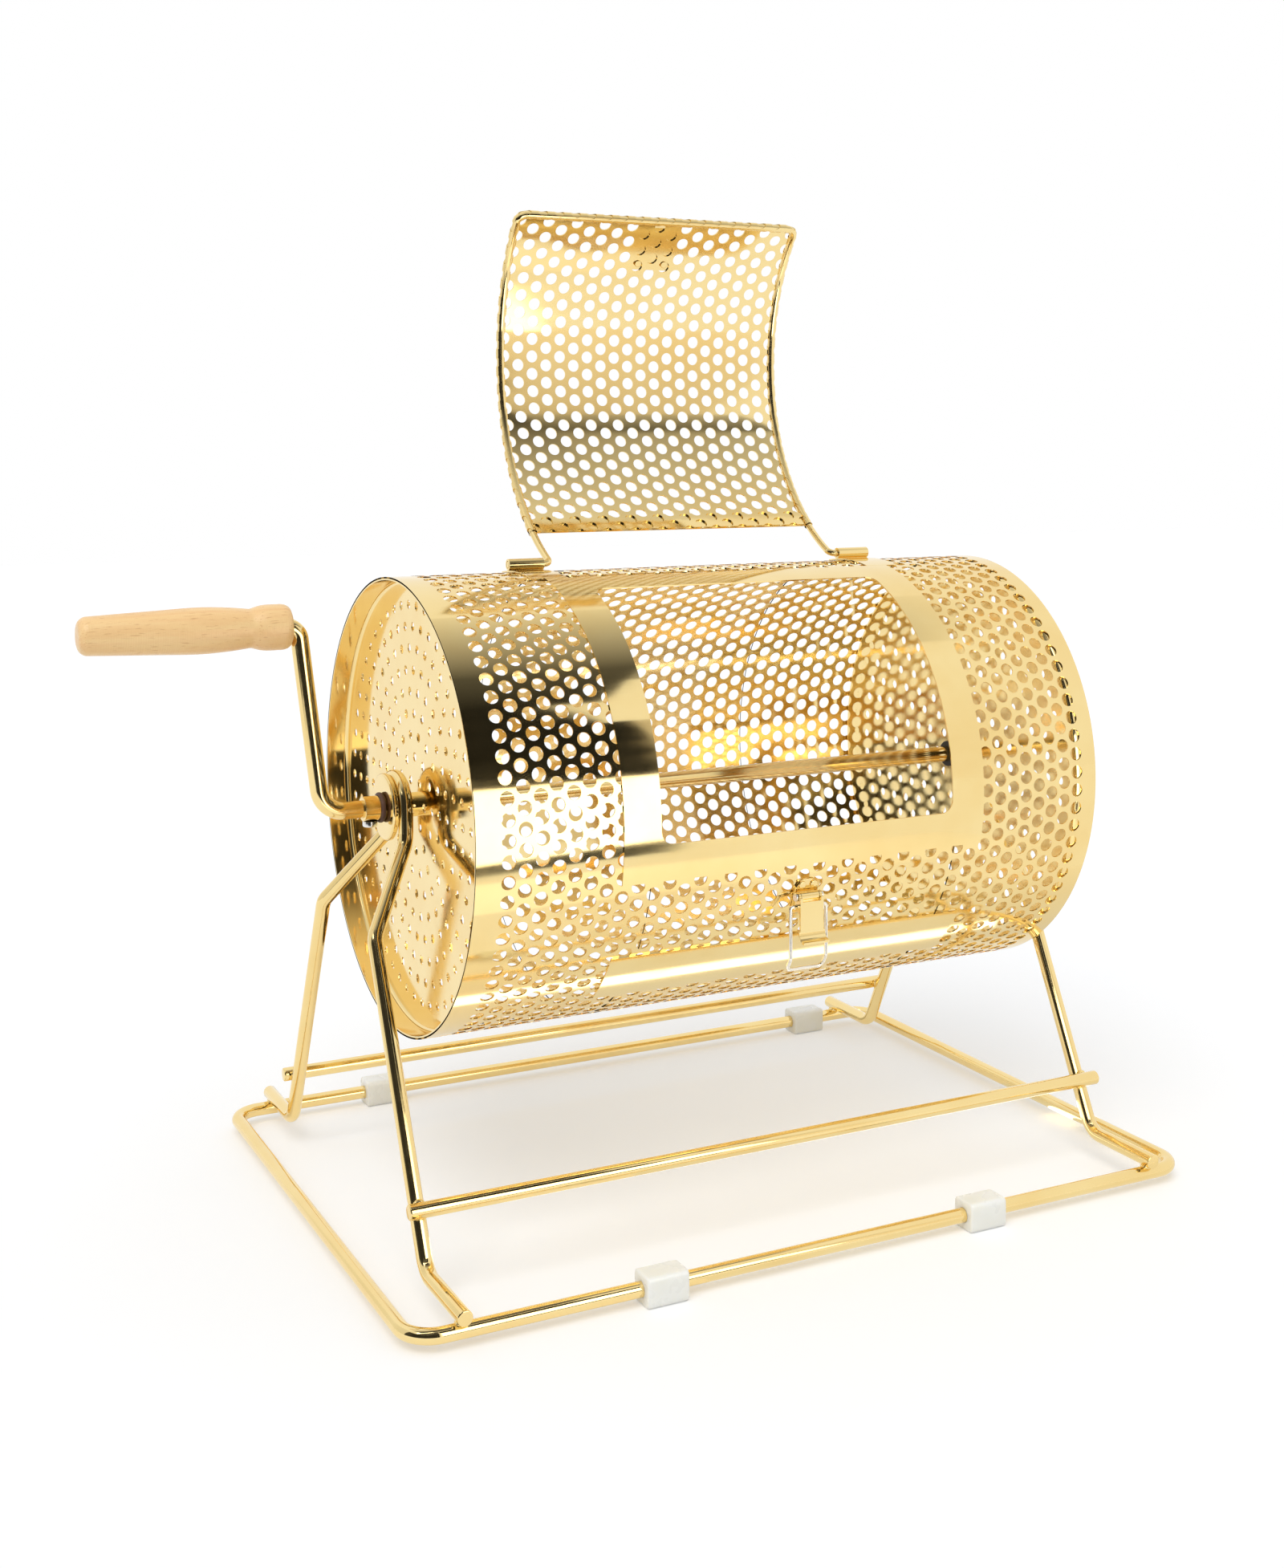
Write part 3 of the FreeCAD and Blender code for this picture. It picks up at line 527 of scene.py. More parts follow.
class Nodes:
    """A short hand for laying out a node tree."""

    def __init__(self, tree: bpy.types.NodeTree) -> None:
        """Starts with an empty tree."""
        self.tree = tree
        tree.nodes.clear()

    def add(self, kind: str, **inputs: object) -> bpy.types.Node:
        """Adds a node.

        Args:
            kind: The node's type.
            inputs: Values and links for its inputs by name, with _ for a space, and its own settings.

        Returns:
            The node.
        """
        node = self.tree.nodes.new(kind)
        for key, value in inputs.items():
            if hasattr(node, key):
                setattr(node, key, value)
        for key, value in inputs.items():
            if hasattr(node, key):
                continue
            number = key[1:]
            socket = node.inputs[int(number) if number.isdigit() else key.replace("_", " ")]
            if isinstance(value, bpy.types.NodeSocket):
                self.tree.links.new(value, socket)
            else:
                socket.default_value = value
        return node

    def spread(
        self, value: bpy.types.NodeSocket, low: float, high: float, start: float, end: float
    ) -> bpy.types.NodeSocket:
        """A value mapped evenly from the span low to high onto the span start to end."""
        spans = {"From_Min": low, "From_Max": high, "To_Min": start, "To_Max": end}
        return self.add("ShaderNodeMapRange", Value=value, **spans).outputs["Result"]

    def mixed(self, factor: object, first: object, second: object) -> bpy.types.NodeSocket:
        """Two colours mixed.

        Args:
            factor: The second colour's share, a number or a link.
            first: The colour at nought.
            second: The colour at one.

        Returns:
            The mix.
        """
        node = self.add("ShaderNodeMix", data_type="RGBA")
        for index, value in ((0, factor), (6, first), (7, second)):
            if isinstance(value, bpy.types.NodeSocket):
                self.tree.links.new(value, node.inputs[index])
            else:
                node.inputs[index].default_value = value
        return node.outputs[2]


def new_group(
    name: str, takes: dict[str, str], gives: dict[str, str]
) -> tuple[bpy.types.NodeTree, Nodes]:
    """An empty shader group with named sockets.

    Args:
        name: The group's name.
        takes: Its inputs and their kinds.
        gives: Its outputs and their kinds.

    Returns:
        The group and its layout.
    """
    group = bpy.data.node_groups.new(name, "ShaderNodeTree")
    for sockets, way in ((takes, "INPUT"), (gives, "OUTPUT")):
        for label, kind in sockets.items():
            group.interface.new_socket(label, in_out=way, socket_type="NodeSocket" + kind)
    return group, Nodes(group)


def blank_material(name: str) -> tuple[bpy.types.Material, Nodes]:
    """A new material with an empty node layout."""
    made = bpy.data.materials.new(name)
    made.use_nodes = True
    return made, Nodes(made.node_tree)


def seen_directly(nodes: Nodes) -> bpy.types.NodeSocket:
    """Whether a ray comes from the eye, a reflection or a see-through surface: the highest of the three flags.

    Args:
        nodes: The layout that it goes into.

    Returns:
        The flag, 0 or 1.
    """
    path = nodes.add("ShaderNodeLightPath").outputs
    seen = path["Is Camera Ray"]
    for flag in ("Is Glossy Ray", "Is Transmission Ray"):
        seen = nodes.add("ShaderNodeMath", operation="MAXIMUM", _0=seen, _1=path[flag]).outputs["Value"]
    return seen


def polish_group() -> bpy.types.NodeTree:
    """The effect that all plated metal shares: uneven tone, wiped roughness and a faint ripple.

    Returns:
        The group, which puts out a colour, a roughness and a height.
    """
    takes = {"Tone": "Color", "Deep": "Color", "Smooth": "Float", "Dull": "Float"}
    gives = {"Color": "Color", "Roughness": "Float", "Height": "Float"}
    group, nodes = new_group("polish", takes, gives)
    given = nodes.add("NodeGroupInput")
    place = nodes.add("ShaderNodeTexCoord").outputs["Object"]
    cloud = nodes.add("ShaderNodeTexNoise", Vector=place, Scale=22.0, Detail=3.0, Roughness=0.55)
    smear_place = nodes.add("ShaderNodeMapping", Vector=place, Scale=(12.0, 160.0, 160.0))
    smear_place = smear_place.outputs["Vector"]
    smear = nodes.add("ShaderNodeTexNoise", Vector=smear_place, Scale=1.0, Detail=4.0)
    speck = nodes.add("ShaderNodeTexNoise", Vector=place, Scale=900.0, Detail=2.0)
    tint = nodes.spread(cloud.outputs["Fac"], 0.35, 0.7, 0.0, 0.55)
    wiped = nodes.add(
        "ShaderNodeMath", operation="MULTIPLY", _0=smear.outputs["Fac"], _1=cloud.outputs["Fac"]
    )
    share = nodes.spread(wiped.outputs["Value"], 0.12, 0.42, 0.0, 1.0)
    rough = nodes.add("ShaderNodeMix", data_type="FLOAT", _0=share)
    group.links.new(given.outputs["Smooth"], rough.inputs[2])
    group.links.new(given.outputs["Dull"], rough.inputs[3])
    ripple = nodes.add("ShaderNodeTexNoise", Vector=place, Scale=34.0, Detail=1.0)
    fine = nodes.add("ShaderNodeMath", operation="MULTIPLY", _0=speck.outputs["Fac"], _1=0.015)
    height = nodes.add(
        "ShaderNodeMath", operation="ADD", _0=ripple.outputs["Fac"], _1=fine.outputs["Value"]
    )
    out = nodes.add("NodeGroupOutput")
    group.links.new(nodes.mixed(tint, given.outputs["Tone"], given.outputs["Deep"]), out.inputs["Color"])
    group.links.new(rough.outputs[0], out.inputs["Roughness"])
    group.links.new(height.outputs["Value"], out.inputs["Height"])
    return group


@dataclass(frozen=True)
class Plating:
    """A polished, plated metal."""

    name: str
    tone: Colour
    deep: Colour
    smooth: float
    dull: float
    ripple_mm: float

    def material(self, polish: bpy.types.NodeTree) -> bpy.types.Material:
        """Builds the finish.

        Args:
            polish: The shared effect.

        Returns:
            The material.
        """
        made, nodes = blank_material(self.name)
        worn = nodes.add("ShaderNodeGroup", node_tree=polish)
        worn.inputs["Tone"].default_value = self.tone
        worn.inputs["Deep"].default_value = self.deep
        worn.inputs["Smooth"].default_value = self.smooth
        worn.inputs["Dull"].default_value = self.dull
        bump = nodes.add(
            "ShaderNodeBump",
            Height=worn.outputs["Height"],
            Strength=1.0,
            Distance=self.ripple_mm / 1000.0,
        )
        metal = nodes.add(
            "ShaderNodeBsdfPrincipled",
            Base_Color=worn.outputs["Color"],
            Roughness=worn.outputs["Roughness"],
            Metallic=1.0,
            Normal=bump.outputs["Normal"],
        )
        nodes.add("ShaderNodeOutputMaterial", Surface=metal.outputs["BSDF"])
        made.diffuse_color = self.tone
        return made


@dataclass(frozen=True)
class MilkyPlastic:
    """Cloudy, slightly see-through moulded plastic."""

    name: str = "milky_plastic"
    tone: Colour = (0.98, 0.965, 0.88, 1.0)
    shade: Colour = (0.94, 0.915, 0.82, 1.0)

    def material(self) -> bpy.types.Material:
        """Builds the finish.

        Returns:
            The material.
        """
        made, nodes = blank_material(self.name)
        place = nodes.add("ShaderNodeTexCoord").outputs["Object"]
        cloud = nodes.add("ShaderNodeTexNoise", Vector=place, Scale=70.0, Detail=3.0)
        grain = nodes.add("ShaderNodeTexNoise", Vector=place, Scale=1400.0, Detail=2.0)
        bump = nodes.add("ShaderNodeBump", Height=grain.outputs["Fac"], Strength=0.5, Distance=0.00006)
        share = nodes.spread(cloud.outputs["Fac"], 0.35, 0.7, 0.0, 1.0)
        body = nodes.add(
            "ShaderNodeBsdfPrincipled",
            Base_Color=nodes.mixed(share, self.tone, self.shade),
            Roughness=nodes.spread(cloud.outputs["Fac"], 0.3, 0.7, 0.22, 0.36),
            IOR=1.49,
            Subsurface_Weight=0.6,
            Subsurface_Radius=(1.0, 0.95, 0.85),
            Subsurface_Scale=0.004,
            Normal=bump.outputs["Normal"],
        )
        nodes.add("ShaderNodeOutputMaterial", Surface=body.outputs["BSDF"])
        made.diffuse_color = self.tone
        return made


@dataclass(frozen=True)
class TurnedWood:
    """Pale turned wood: long grain, short dark flecks and faint tool rings, under a thin lacquer."""

    name: str = "turned_beech"
    pale: Colour = (0.99, 0.67, 0.305, 1.0)
    dark: Colour = (0.93, 0.565, 0.24, 1.0)
    fleck: Colour = (0.72, 0.38, 0.145, 1.0)

    def material(self) -> bpy.types.Material:
        """Builds the finish.

        Returns:
            The material.
        """
        made, nodes = blank_material(self.name)
        place = nodes.add("ShaderNodeTexCoord").outputs["Object"]
        stretched = nodes.add("ShaderNodeMapping", Vector=place, Scale=(14.0, 190.0, 190.0)).outputs["Vector"]
        grain = nodes.add("ShaderNodeTexNoise", Vector=stretched, Scale=1.0, Detail=5.0, Distortion=0.4)
        grain = grain.outputs["Fac"]
        short = nodes.add("ShaderNodeMapping", Vector=place, Scale=(160.0, 1500.0, 1500.0)).outputs["Vector"]
        fleck = nodes.add("ShaderNodeTexNoise", Vector=short, Scale=1.0, Detail=1.0).outputs["Fac"]
        rings = nodes.add(
            "ShaderNodeTexWave", Vector=place, Scale=260.0, Distortion=1.5, bands_direction="X"
        )
        streak = nodes.mixed(nodes.spread(grain, 0.36, 0.66, 0.0, 1.0), self.pale, self.dark)
        tone = nodes.mixed(nodes.spread(fleck, 0.62, 0.74, 0.0, 0.7), streak, self.fleck)
        height = nodes.add("ShaderNodeMath", operation="ADD", _0=rings.outputs["Fac"], _1=grain)
        height = height.outputs["Value"]
        bump = nodes.add("ShaderNodeBump", Height=height, Strength=0.6, Distance=0.00008)
        body = nodes.add(
            "ShaderNodeBsdfPrincipled",
            Base_Color=tone,
            Roughness=nodes.spread(grain, 0.3, 0.7, 0.34, 0.5),
            Coat_Weight=0.25,
            Coat_Roughness=0.22,
            Normal=bump.outputs["Normal"],
        )
        nodes.add("ShaderNodeOutputMaterial", Surface=body.outputs["BSDF"])
        made.diffuse_color = self.pale
        return made


@dataclass(frozen=True)
class Rubber:
    """Soft matt rubber with a dusty bloom."""

    name: str
    tone: Colour
    bloom: Colour

    def material(self) -> bpy.types.Material:
        """Builds the finish.

        Returns:
            The material.
        """
        made, nodes = blank_material(self.name)
        place = nodes.add("ShaderNodeTexCoord").outputs["Object"]
        dust = nodes.add("ShaderNodeTexNoise", Vector=place, Scale=240.0, Detail=4.0).outputs["Fac"]
        bump = nodes.add("ShaderNodeBump", Height=dust, Strength=0.6, Distance=0.0001)
        body = nodes.add(
            "ShaderNodeBsdfPrincipled",
            Base_Color=nodes.mixed(nodes.spread(dust, 0.45, 0.75, 0.0, 0.7), self.tone, self.bloom),
            Roughness=nodes.spread(dust, 0.3, 0.7, 0.45, 0.65),
            Normal=bump.outputs["Normal"],
        )
        nodes.add("ShaderNodeOutputMaterial", Surface=body.outputs["BSDF"])
        made.diffuse_color = self.tone
        return made


@dataclass
class Finishes:
    """Every finish of the object, built once."""

    wire: bpy.types.Material
    sheet: bpy.types.Material
    rod: bpy.types.Material
    pale: bpy.types.Material
    steel: bpy.types.Material
    plastic: bpy.types.Material
    beech: bpy.types.Material
    brown: bpy.types.Material
    black: bpy.types.Material

    @staticmethod
    def build() -> "Finishes":
        """Builds them all.

        Returns:
            The finishes.
        """
        polish = polish_group()
        gold, deep_gold = (0.93, 0.73, 0.345, 1.0), (0.87, 0.62, 0.24, 1.0)
        nickel, warm_nickel = (0.88, 0.84, 0.76, 1.0), (0.80, 0.70, 0.52, 1.0)
        steel = (0.80, 0.79, 0.76, 1.0)
        brown, brown_bloom = (0.075, 0.03, 0.016, 1.0), (0.16, 0.075, 0.045, 1.0)
        black, black_bloom = (0.012, 0.012, 0.012, 1.0), (0.05, 0.048, 0.045, 1.0)
        return Finishes(
            wire=Plating("gold_wire_finish", gold, deep_gold, 0.07, 0.15, 0.02).material(polish),
            sheet=Plating("gold_sheet_finish", gold, deep_gold, 0.06, 0.13, 0.05).material(polish),
            rod=Plating("gold_rod_finish", gold, deep_gold, 0.08, 0.17, 0.02).material(polish),
            pale=Plating("pale_wire_finish", nickel, warm_nickel, 0.08, 0.2, 0.01).material(polish),
            steel=Plating("bright_steel_finish", steel, nickel, 0.12, 0.25, 0.02).material(polish),
            plastic=MilkyPlastic().material(),
            beech=TurnedWood().material(),
            brown=Rubber("brown_rubber_finish", brown, brown_bloom).material(),
            black=Rubber("black_rubber_finish", black, black_bloom).material(),
        )


@dataclass
class Stand:
    """The bent-wire stand: a base loop, two side frames, two cross rods, bearing discs and plastic feet."""

    wire_r: float = 4.0
    half_l: float = 230.7
    half_w: float = 167.7
    corner_r: float = 16.0
    rail_z: float = 8.0
    foot_z: float = 16.05
    frame_x: float = 206.0
    leg_foot_y: float = 120.0
    leg_knee_y: float = 46.0
    knee_z: float = 166.0
    kink_z: float = 208.0
    arch_r: float = 16.0
    leg_bend_r: float = 13.0
    foot_overrun: float = 6.0
    left_arch_x: float = -178.0
    right_arch_x: float = 200.0
    rod_z: float = 46.0
    rod_overrun: float = 7.0
    disc_r: float = 18.35
    disc_t: float = 3.6
    disc_ease: float = 1.2
    disc_bore: float = 6.76
    sleeve_len: float = 23.0
    sleeve_half: float = 8.0
    sleeve_bore: float = 4.05
    sleeve_ease: float = 1.1
    weld_gap: float = 0.05
    disc_bore_ease: float = 0.35
    bead_wide: float = 3.4
    bead_flat: float = 1.9
    bead_lift: float = 0.6
    front_sleeves: tuple[float, float] = (-101.0, 91.0)
    rear_sleeves: tuple[float, float] = (-135.0, 181.0)

    def base_loop(self) -> Surface:
        """The floor rectangle.

        Returns:
            The wire.
        """
        x, y, z = self.half_l, self.half_w, self.rail_z
        corners = np.array([[-x, -y, z], [x, -y, z], [x, y, z], [-x, y, z]])
        path = bent_path(corners, [self.corner_r] * 4, closed=True, steps=12)
        return wire(path, self.wire_r, np.array([0.0, 0.0, 1.0]), closed=True)

    def side_frame(self, end: End) -> Surface:
        """The wire that goes up one leg, over the axle and down the other leg.

        Args:
            end: The end of the stand.

        Returns:
            The wire.
        """
        side = end.value
        arch_x = self.left_arch_x if end is End.LEFT else self.right_arch_x
        half = np.array(
            [
                [side * self.frame_x, -self.half_w - self.foot_overrun, self.foot_z],
                [side * self.frame_x, -self.leg_foot_y, self.foot_z],
                [side * self.frame_x, -self.leg_knee_y, self.knee_z],
                [arch_x, -self.arch_r, self.kink_z],
                [arch_x, -self.arch_r, AXLE_Z + self.arch_r],
            ]
        )
        corners = np.concatenate([half, half[::-1] * np.array([1.0, -1.0, 1.0])])
        bends = [self.leg_bend_r] * 3 + [self.arch_r] * 2 + [self.leg_bend_r] * 3
        path = bent_path(corners, bends, steps=12)
        return wire(path, self.wire_r, np.array([1.0, 0.0, 0.0]))

    def rod_y(self) -> float:
        """How far out the cross rods lie: past the leg by both radii, square to the leg's slope.

        Returns:
            The distance from the middle, along Y.
        """
        run_y, run_z = self.leg_foot_y - self.leg_knee_y, self.knee_z - self.foot_z
        leg_y = self.leg_foot_y - (self.rod_z - self.foot_z) * run_y / run_z
        return leg_y + (2 * self.wire_r + self.weld_gap) * math.hypot(run_y, run_z) / run_z

    def cross_rod(self, face: Face) -> Surface:
        """A tie rod on the outer side of two legs.

        Args:
            face: The front or the rear.

        Returns:
            The wire.
        """
        reach, y = self.frame_x + self.rod_overrun, face.value * self.rod_y()
        path = np.array([[-reach, y, self.rod_z], [0.0, y, self.rod_z], [reach, y, self.rod_z]])
        return wire(path, self.wire_r, np.array([0.0, 0.0, 1.0]))

    def bearing_disc(self, end: End) -> Surface:
        """A round plate on the outer side of an arch, with its bore.

        Args:
            end: The end of the stand.

        Returns:
            The disc.
        """
        arch_x = self.left_arch_x if end is End.LEFT else self.right_arch_x
        near = arch_x + end.value * (self.wire_r + self.weld_gap)
        x0, x1 = sorted((near, near + end.value * self.disc_t))
        profile = eased_ring(self.disc_bore, self.disc_r, x0, x1, self.disc_ease, self.disc_bore_ease)
        return turned(profile, closed=True, sides=96)

    def sleeve(self, x: float, face: Face) -> Surface:
        """A plastic sleeve on the base wire.

        Its outer section is a rounded square, half over the eighth root of |cos t|^8 + |sin t|^8, and its
        bore a circle. Each ring takes one of them, and the last ring joins the first through the bore.

        Args:
            x: The sleeve's middle.
            face: The front or the rear.

        Returns:
            The sleeve.
        """
        turn = np.linspace(0.0, 2 * math.pi, 64, endpoint=False)
        square = (np.abs(np.cos(turn)) ** 8 + np.abs(np.sin(turn)) ** 8) ** -0.125
        half = self.sleeve_len / 2
        quarter = np.linspace(0.0, math.pi / 2, 5)
        shrink = self.sleeve_ease * (1.0 - np.sin(quarter))
        inset = self.sleeve_ease * (1.0 - np.cos(quarter))
        place = np.concatenate([[-half], -half + inset, half - inset[::-1], [half]])
        reach = (self.sleeve_half - np.concatenate([shrink, shrink[::-1]]))[:, None] * square
        bore = np.full((1, len(turn)), self.sleeve_bore)
        reach = np.concatenate([bore, reach, bore])
        y = face.value * self.half_w + reach * np.cos(turn)
        z = self.rail_z + reach * np.sin(turn)
        along = np.broadcast_to((x + place)[:, None], y.shape)
        return closed_shell(np.stack([along, y, z], axis=-1), True)

    def bead(self, centre: Array, along: float, across: float, up: float) -> Surface:
        """A weld bead: an ellipsoid whose girth swells by the share 0.05 cos 5t cos s round it.

        Args:
            centre: Its middle.
            along: Its half size along X.
            across: Its half size along Y.
            up: Its half height.

        Returns:
            The bead.
        """
        lift = np.linspace(-math.pi / 2, math.pi / 2, 11)[:, None]
        turn = np.linspace(0.0, 2 * math.pi, 20, endpoint=False)[None]
        swell = 1.0 + 0.05 * np.cos(5 * turn) * np.cos(lift)
        grid = np.stack(
            [
                along * np.cos(lift) * np.cos(turn) * swell,
                across * np.cos(lift) * np.sin(turn) * swell,
                up * np.sin(lift) + 0.0 * turn,
            ],
            axis=-1,
        )
        return closed_shell(grid + centre, False)

    def weld_beads(self) -> Surface:
        """The beads where wires cross.

        Returns:
            The beads of the four feet and the four rod joints.
        """
        beads = []
        slope = (self.leg_foot_y - self.leg_knee_y) / (self.knee_z - self.foot_z)
        for side in (-1, 1):
            for face in (-1, 1):
                x = side * self.frame_x
                foot = np.array([x, face * self.half_w, (self.rail_z + self.foot_z) / 2])
                beads.append(self.bead(foot, self.bead_wide, self.bead_wide, self.bead_flat))
                leg_y = self.leg_foot_y - (self.rod_z - self.foot_z) * slope
                middle = (self.rod_y() + leg_y) / 2
                joint = np.array([x, face * middle, self.rod_z + self.bead_lift])
                beads.append(self.bead(joint, self.bead_wide, self.bead_flat, self.bead_wide))
        return Surface.joined(beads)

    def build(self, shop: Workshop, finish: Finishes) -> None:
        """Makes the stand's pieces.

        Args:
            shop: Where they are made.
            finish: The finishes.
        """
        gold = (finish.wire, "stand", Slot.WIRE)
        shop.piece("base_wire", self.base_loop(), *gold, ("base_loop",))
        for end, word in ((End.LEFT, "left"), (End.RIGHT, "right")):
            frame = self.side_frame(end)
            shop.piece(word + "_frame_wire", frame, *gold, (word + "_side_frame",))
            disc = self.bearing_disc(end)
            shop.piece(word + "_disc", disc, finish.rod, "stand", Slot.WIRE, (word + "_bearing_disc",))
        for face, word in ((Face.FRONT, "front"), (Face.REAR, "rear")):
            shop.piece(word + "_rod", self.cross_rod(face), *gold, (word + "_cross_rod",))
            places = self.front_sleeves if face is Face.FRONT else self.rear_sleeves
            for x, side in zip(places, ("left", "right")):
                name = word + "_" + side
                sleeve = self.sleeve(x, face)
                shop.piece(name + "_sleeve", sleeve, finish.plastic, "stand", Slot.PLASTIC, (name + "_foot",))
        shop.piece("weld_beads", self.weld_beads(), *gold)


@dataclass
class Drum:
    """The drum: perforated shell and ends, smooth doublers, hub tubes, rubber rings and hinge clips."""

    radius: float = 125.0
    sheet_t: float = 0.8
    left: float = -179.5
    right: float = 201.5
    holes_round: int = 75
    hole_r: float = 3.85
    last_column: float = 188.0
    first_column: float = -162.1
    column_count: int = 40
    first_angle: float = 70.6
    opening_half_w: float = 90.0
    opening_low: float = -3.6
    opening_top: float = 69.7
    opening_r: float = 7.0
    cut_back: float = 4.0
    plate_half_w: float = 111.0
    plate_low: float = -12.6
    plate_top: float = 78.0
    plate_in: float = 125.1
    strip_half_w: float = 109.0
    strip_top: float = -33.8
    strip_low: float = -50.3
    cap_recess: float = 12.5
    cap_corner: float = 2.6
    cap_rings: int = 9
    cap_first_r: float = 14.2
    cap_ring_step: float = 11.9
    cap_hole_r: float = 2.65
    hub_r: float = 6.7
    hub_ease: float = 0.4
    left_hub_span: tuple[float, float] = (-197.15, -166.2)
    right_hub_span: tuple[float, float] = (188.2, 211.65)
    axle_r: float = 4.75
    fit: float = 0.02
    outer_ring_r: float = 8.25
    outer_ring_span: tuple[float, float] = (-188.55, -185.95)
    outer_ring_ease: float = 1.04
    inner_ring_r: float = 8.0
    inner_ring_span: tuple[float, float] = (185.1, 188.1)
    inner_ring_ease: float = 1.0
    screw_x: float = -192.85
    screw_r: float = 4.0
    screw_h: float = 3.2
    screw_ease: float = 0.9
    slot_half: float = 0.75
    slot_depth: float = 1.1
    clip_ease: float = 0.2

    def pitch(self) -> float:
        """The distance between neighbouring holes, round the drum."""
        return 2 * math.pi * self.radius / self.holes_round

    def rolled_mesh(
        self, x_span: tuple[float, float], span: tuple[float, float]
    ) -> Surface:
        """Perforated sheet rolled round the axle.

        The hole columns are numbered from the left. Each has a hole every few degrees, and every other column
        is turned by half a step. The columns past both ends are plain.

        Args:
            x_span: The left and right edges.
            span: The first and last angles; a whole turn closes on itself.

        Returns:
            The sheet.
        """
        degrees = 360.0 / self.holes_round
        arc = self.pitch() / degrees
        step = (self.last_column - self.first_column) / (self.column_count - 1)
        number = np.arange(-3, self.column_count + 3)
        shift = degrees / 2 * ((self.column_count - 1 - number) % 2)
        rows = self.first_angle + degrees * np.arange(-self.holes_round, 2 * self.holes_round)
        x = np.repeat(self.first_column + step * number, len(rows))
        v = ((rows[None] + shift[:, None]) * arc).ravel()
        holed = np.repeat((number >= 0) & (number < self.column_count), len(rows))
        full = span[1] - span[0] > 359.9
        low, top = span[0] * arc, (span[0] + 360.0 if full else span[1]) * arc
        reach = 1e-6 if full else self.pitch()
        near = (x > x_span[0] - self.pitch()) & (x < x_span[1] + self.pitch())
        near &= (v > low - reach) & (v < top + reach)
        if full:
            near &= v < top - reach
        squash = step / (self.pitch() * math.sqrt(3) / 2)
        centres = np.stack([x[near], v[near]], 1)
        flat, faces = honeycomb(centres, self.pitch(), self.hole_r, holed[near], squash)
        room = (-1e9, 1e9) if full else (low, top)
        flat = kept_inside(flat, (x_span[0], room[0]), (x_span[1], room[1]))
        angle = flat[:, 1] / arc
        front = round_drum(flat[:, 0], self.radius, angle)
        back = round_drum(flat[:, 0], self.radius - self.sheet_t, angle)
        return sheet(front, back, outward(angle), faces)

    def cap_cells(self, ring: int, inner: float, outer: float, radius: float) -> tuple[Array, Array]:
        """The cells of one ring of end-cap holes.

        A cell is a sector between two circles. Its border is cut into as many parts as it shares with the
        rings inside and outside it, and its hole's rim has a point towards each of them.

        Args:
            ring: The ring's number; it has six times as many holes.
            inner: Its inner circle.
            outer: Its outer circle.
            radius: The circle through its holes.

        Returns:
            The flat points (y, z) and the triangles.
        """
        half = math.pi / (6 * ring)
        inner_parts = 4 if ring == 1 else 2 * (ring - 1)
        outer_parts = 4 if ring == self.cap_rings else 2 * (ring + 1)
        sides = 2
        low = np.linspace(-half, half, inner_parts, endpoint=False)
        high = np.linspace(half, -half, outer_parts, endpoint=False)
        out = np.linspace(inner, outer, sides, endpoint=False)
        back = np.linspace(outer, inner, sides, endpoint=False)
        angle = np.concatenate([low, np.full(sides, half), high, np.full(sides, -half)])
        reach = np.concatenate(
            [np.full(inner_parts, inner), out, np.full(outer_parts, outer), back]
        )
        border = np.stack([reach * np.cos(angle), reach * np.sin(angle)], 1)
        middle = np.array([radius, 0.0])
        rim = middle + unit(border - middle) * self.cap_hole_r
        both = np.stack([border, rim])
        turn = 2 * half * np.arange(6 * ring)[:, None, None]
        y = both[None, :, :, 0] * np.cos(turn) - both[None, :, :, 1] * np.sin(turn)
        z = both[None, :, :, 0] * np.sin(turn) + both[None, :, :, 1] * np.cos(turn)
        one = grid_faces(2, len(border), False, True)
        faces = one[None] + (np.arange(6 * ring) * 2 * len(border))[:, None, None]
        return np.stack([y, z], -1).reshape(-1, 2), faces.reshape(-1, 3)

    def end_cap(self, end: End) -> Surface:
        """A perforated disc set into the drum's end, with a rounded corner to the flange along the rim.

        The corner is a quarter circle turned about the axle: at the angle q of it, the radius is
        b - c + c sin q and the way out from the disc is c (1 - cos q), with b the flange's inner radius and
        c the corner's own.

        Args:
            end: The end of the drum.

        Returns:
            The cap.
        """
        side = end.value
        disc_x = (self.left if end is End.LEFT else self.right) - side * self.cap_recess
        points, faces, count = [], [], 0
        inner = outer = self.hub_r + self.fit
        for ring in range(1, self.cap_rings + 1):
            radius = self.cap_first_r + self.cap_ring_step * (ring - 1)
            outer = radius + self.cap_ring_step / 2
            flat, cells = self.cap_cells(ring, inner, outer, radius)
            points.append(flat)
            faces.append(cells + count)
            count += len(flat)
            inner = outer
        flat = np.concatenate(points)
        disc = np.stack([np.full(len(flat), disc_x), flat[:, 0], AXLE_Z + flat[:, 1]], 1)
        disc_normal = np.broadcast_to(np.array([side, 0.0, 0.0]), disc.shape)
        bore = self.radius - self.sheet_t - 0.1 - self.sheet_t
        quarter = np.linspace(0.0, math.pi / 2, 9)
        bend = self.cap_corner
        reach = np.concatenate([[outer, outer + 3.0], bore - bend + bend * np.sin(quarter), [bore]])
        depth = np.concatenate([[0.0, 0.0], bend * (1.0 - np.cos(quarter)), [self.cap_recess]])
        lean = np.concatenate([[0.0, 0.0], quarter, [math.pi / 2]])
        parts = 24 * self.cap_rings
        turn = 2 * math.pi * np.arange(parts) / parts - math.pi / (6 * self.cap_rings)
        spoke = np.stack([np.zeros(parts), np.cos(turn), np.sin(turn)], 1)
        ahead = np.array([side, 0.0, 0.0])
        heart = np.array([disc_x, 0.0, AXLE_Z])
        lip = heart + depth[:, None, None] * ahead + reach[:, None, None] * spoke
        lip_normal = np.cos(lean)[:, None, None] * ahead - np.sin(lean)[:, None, None] * spoke
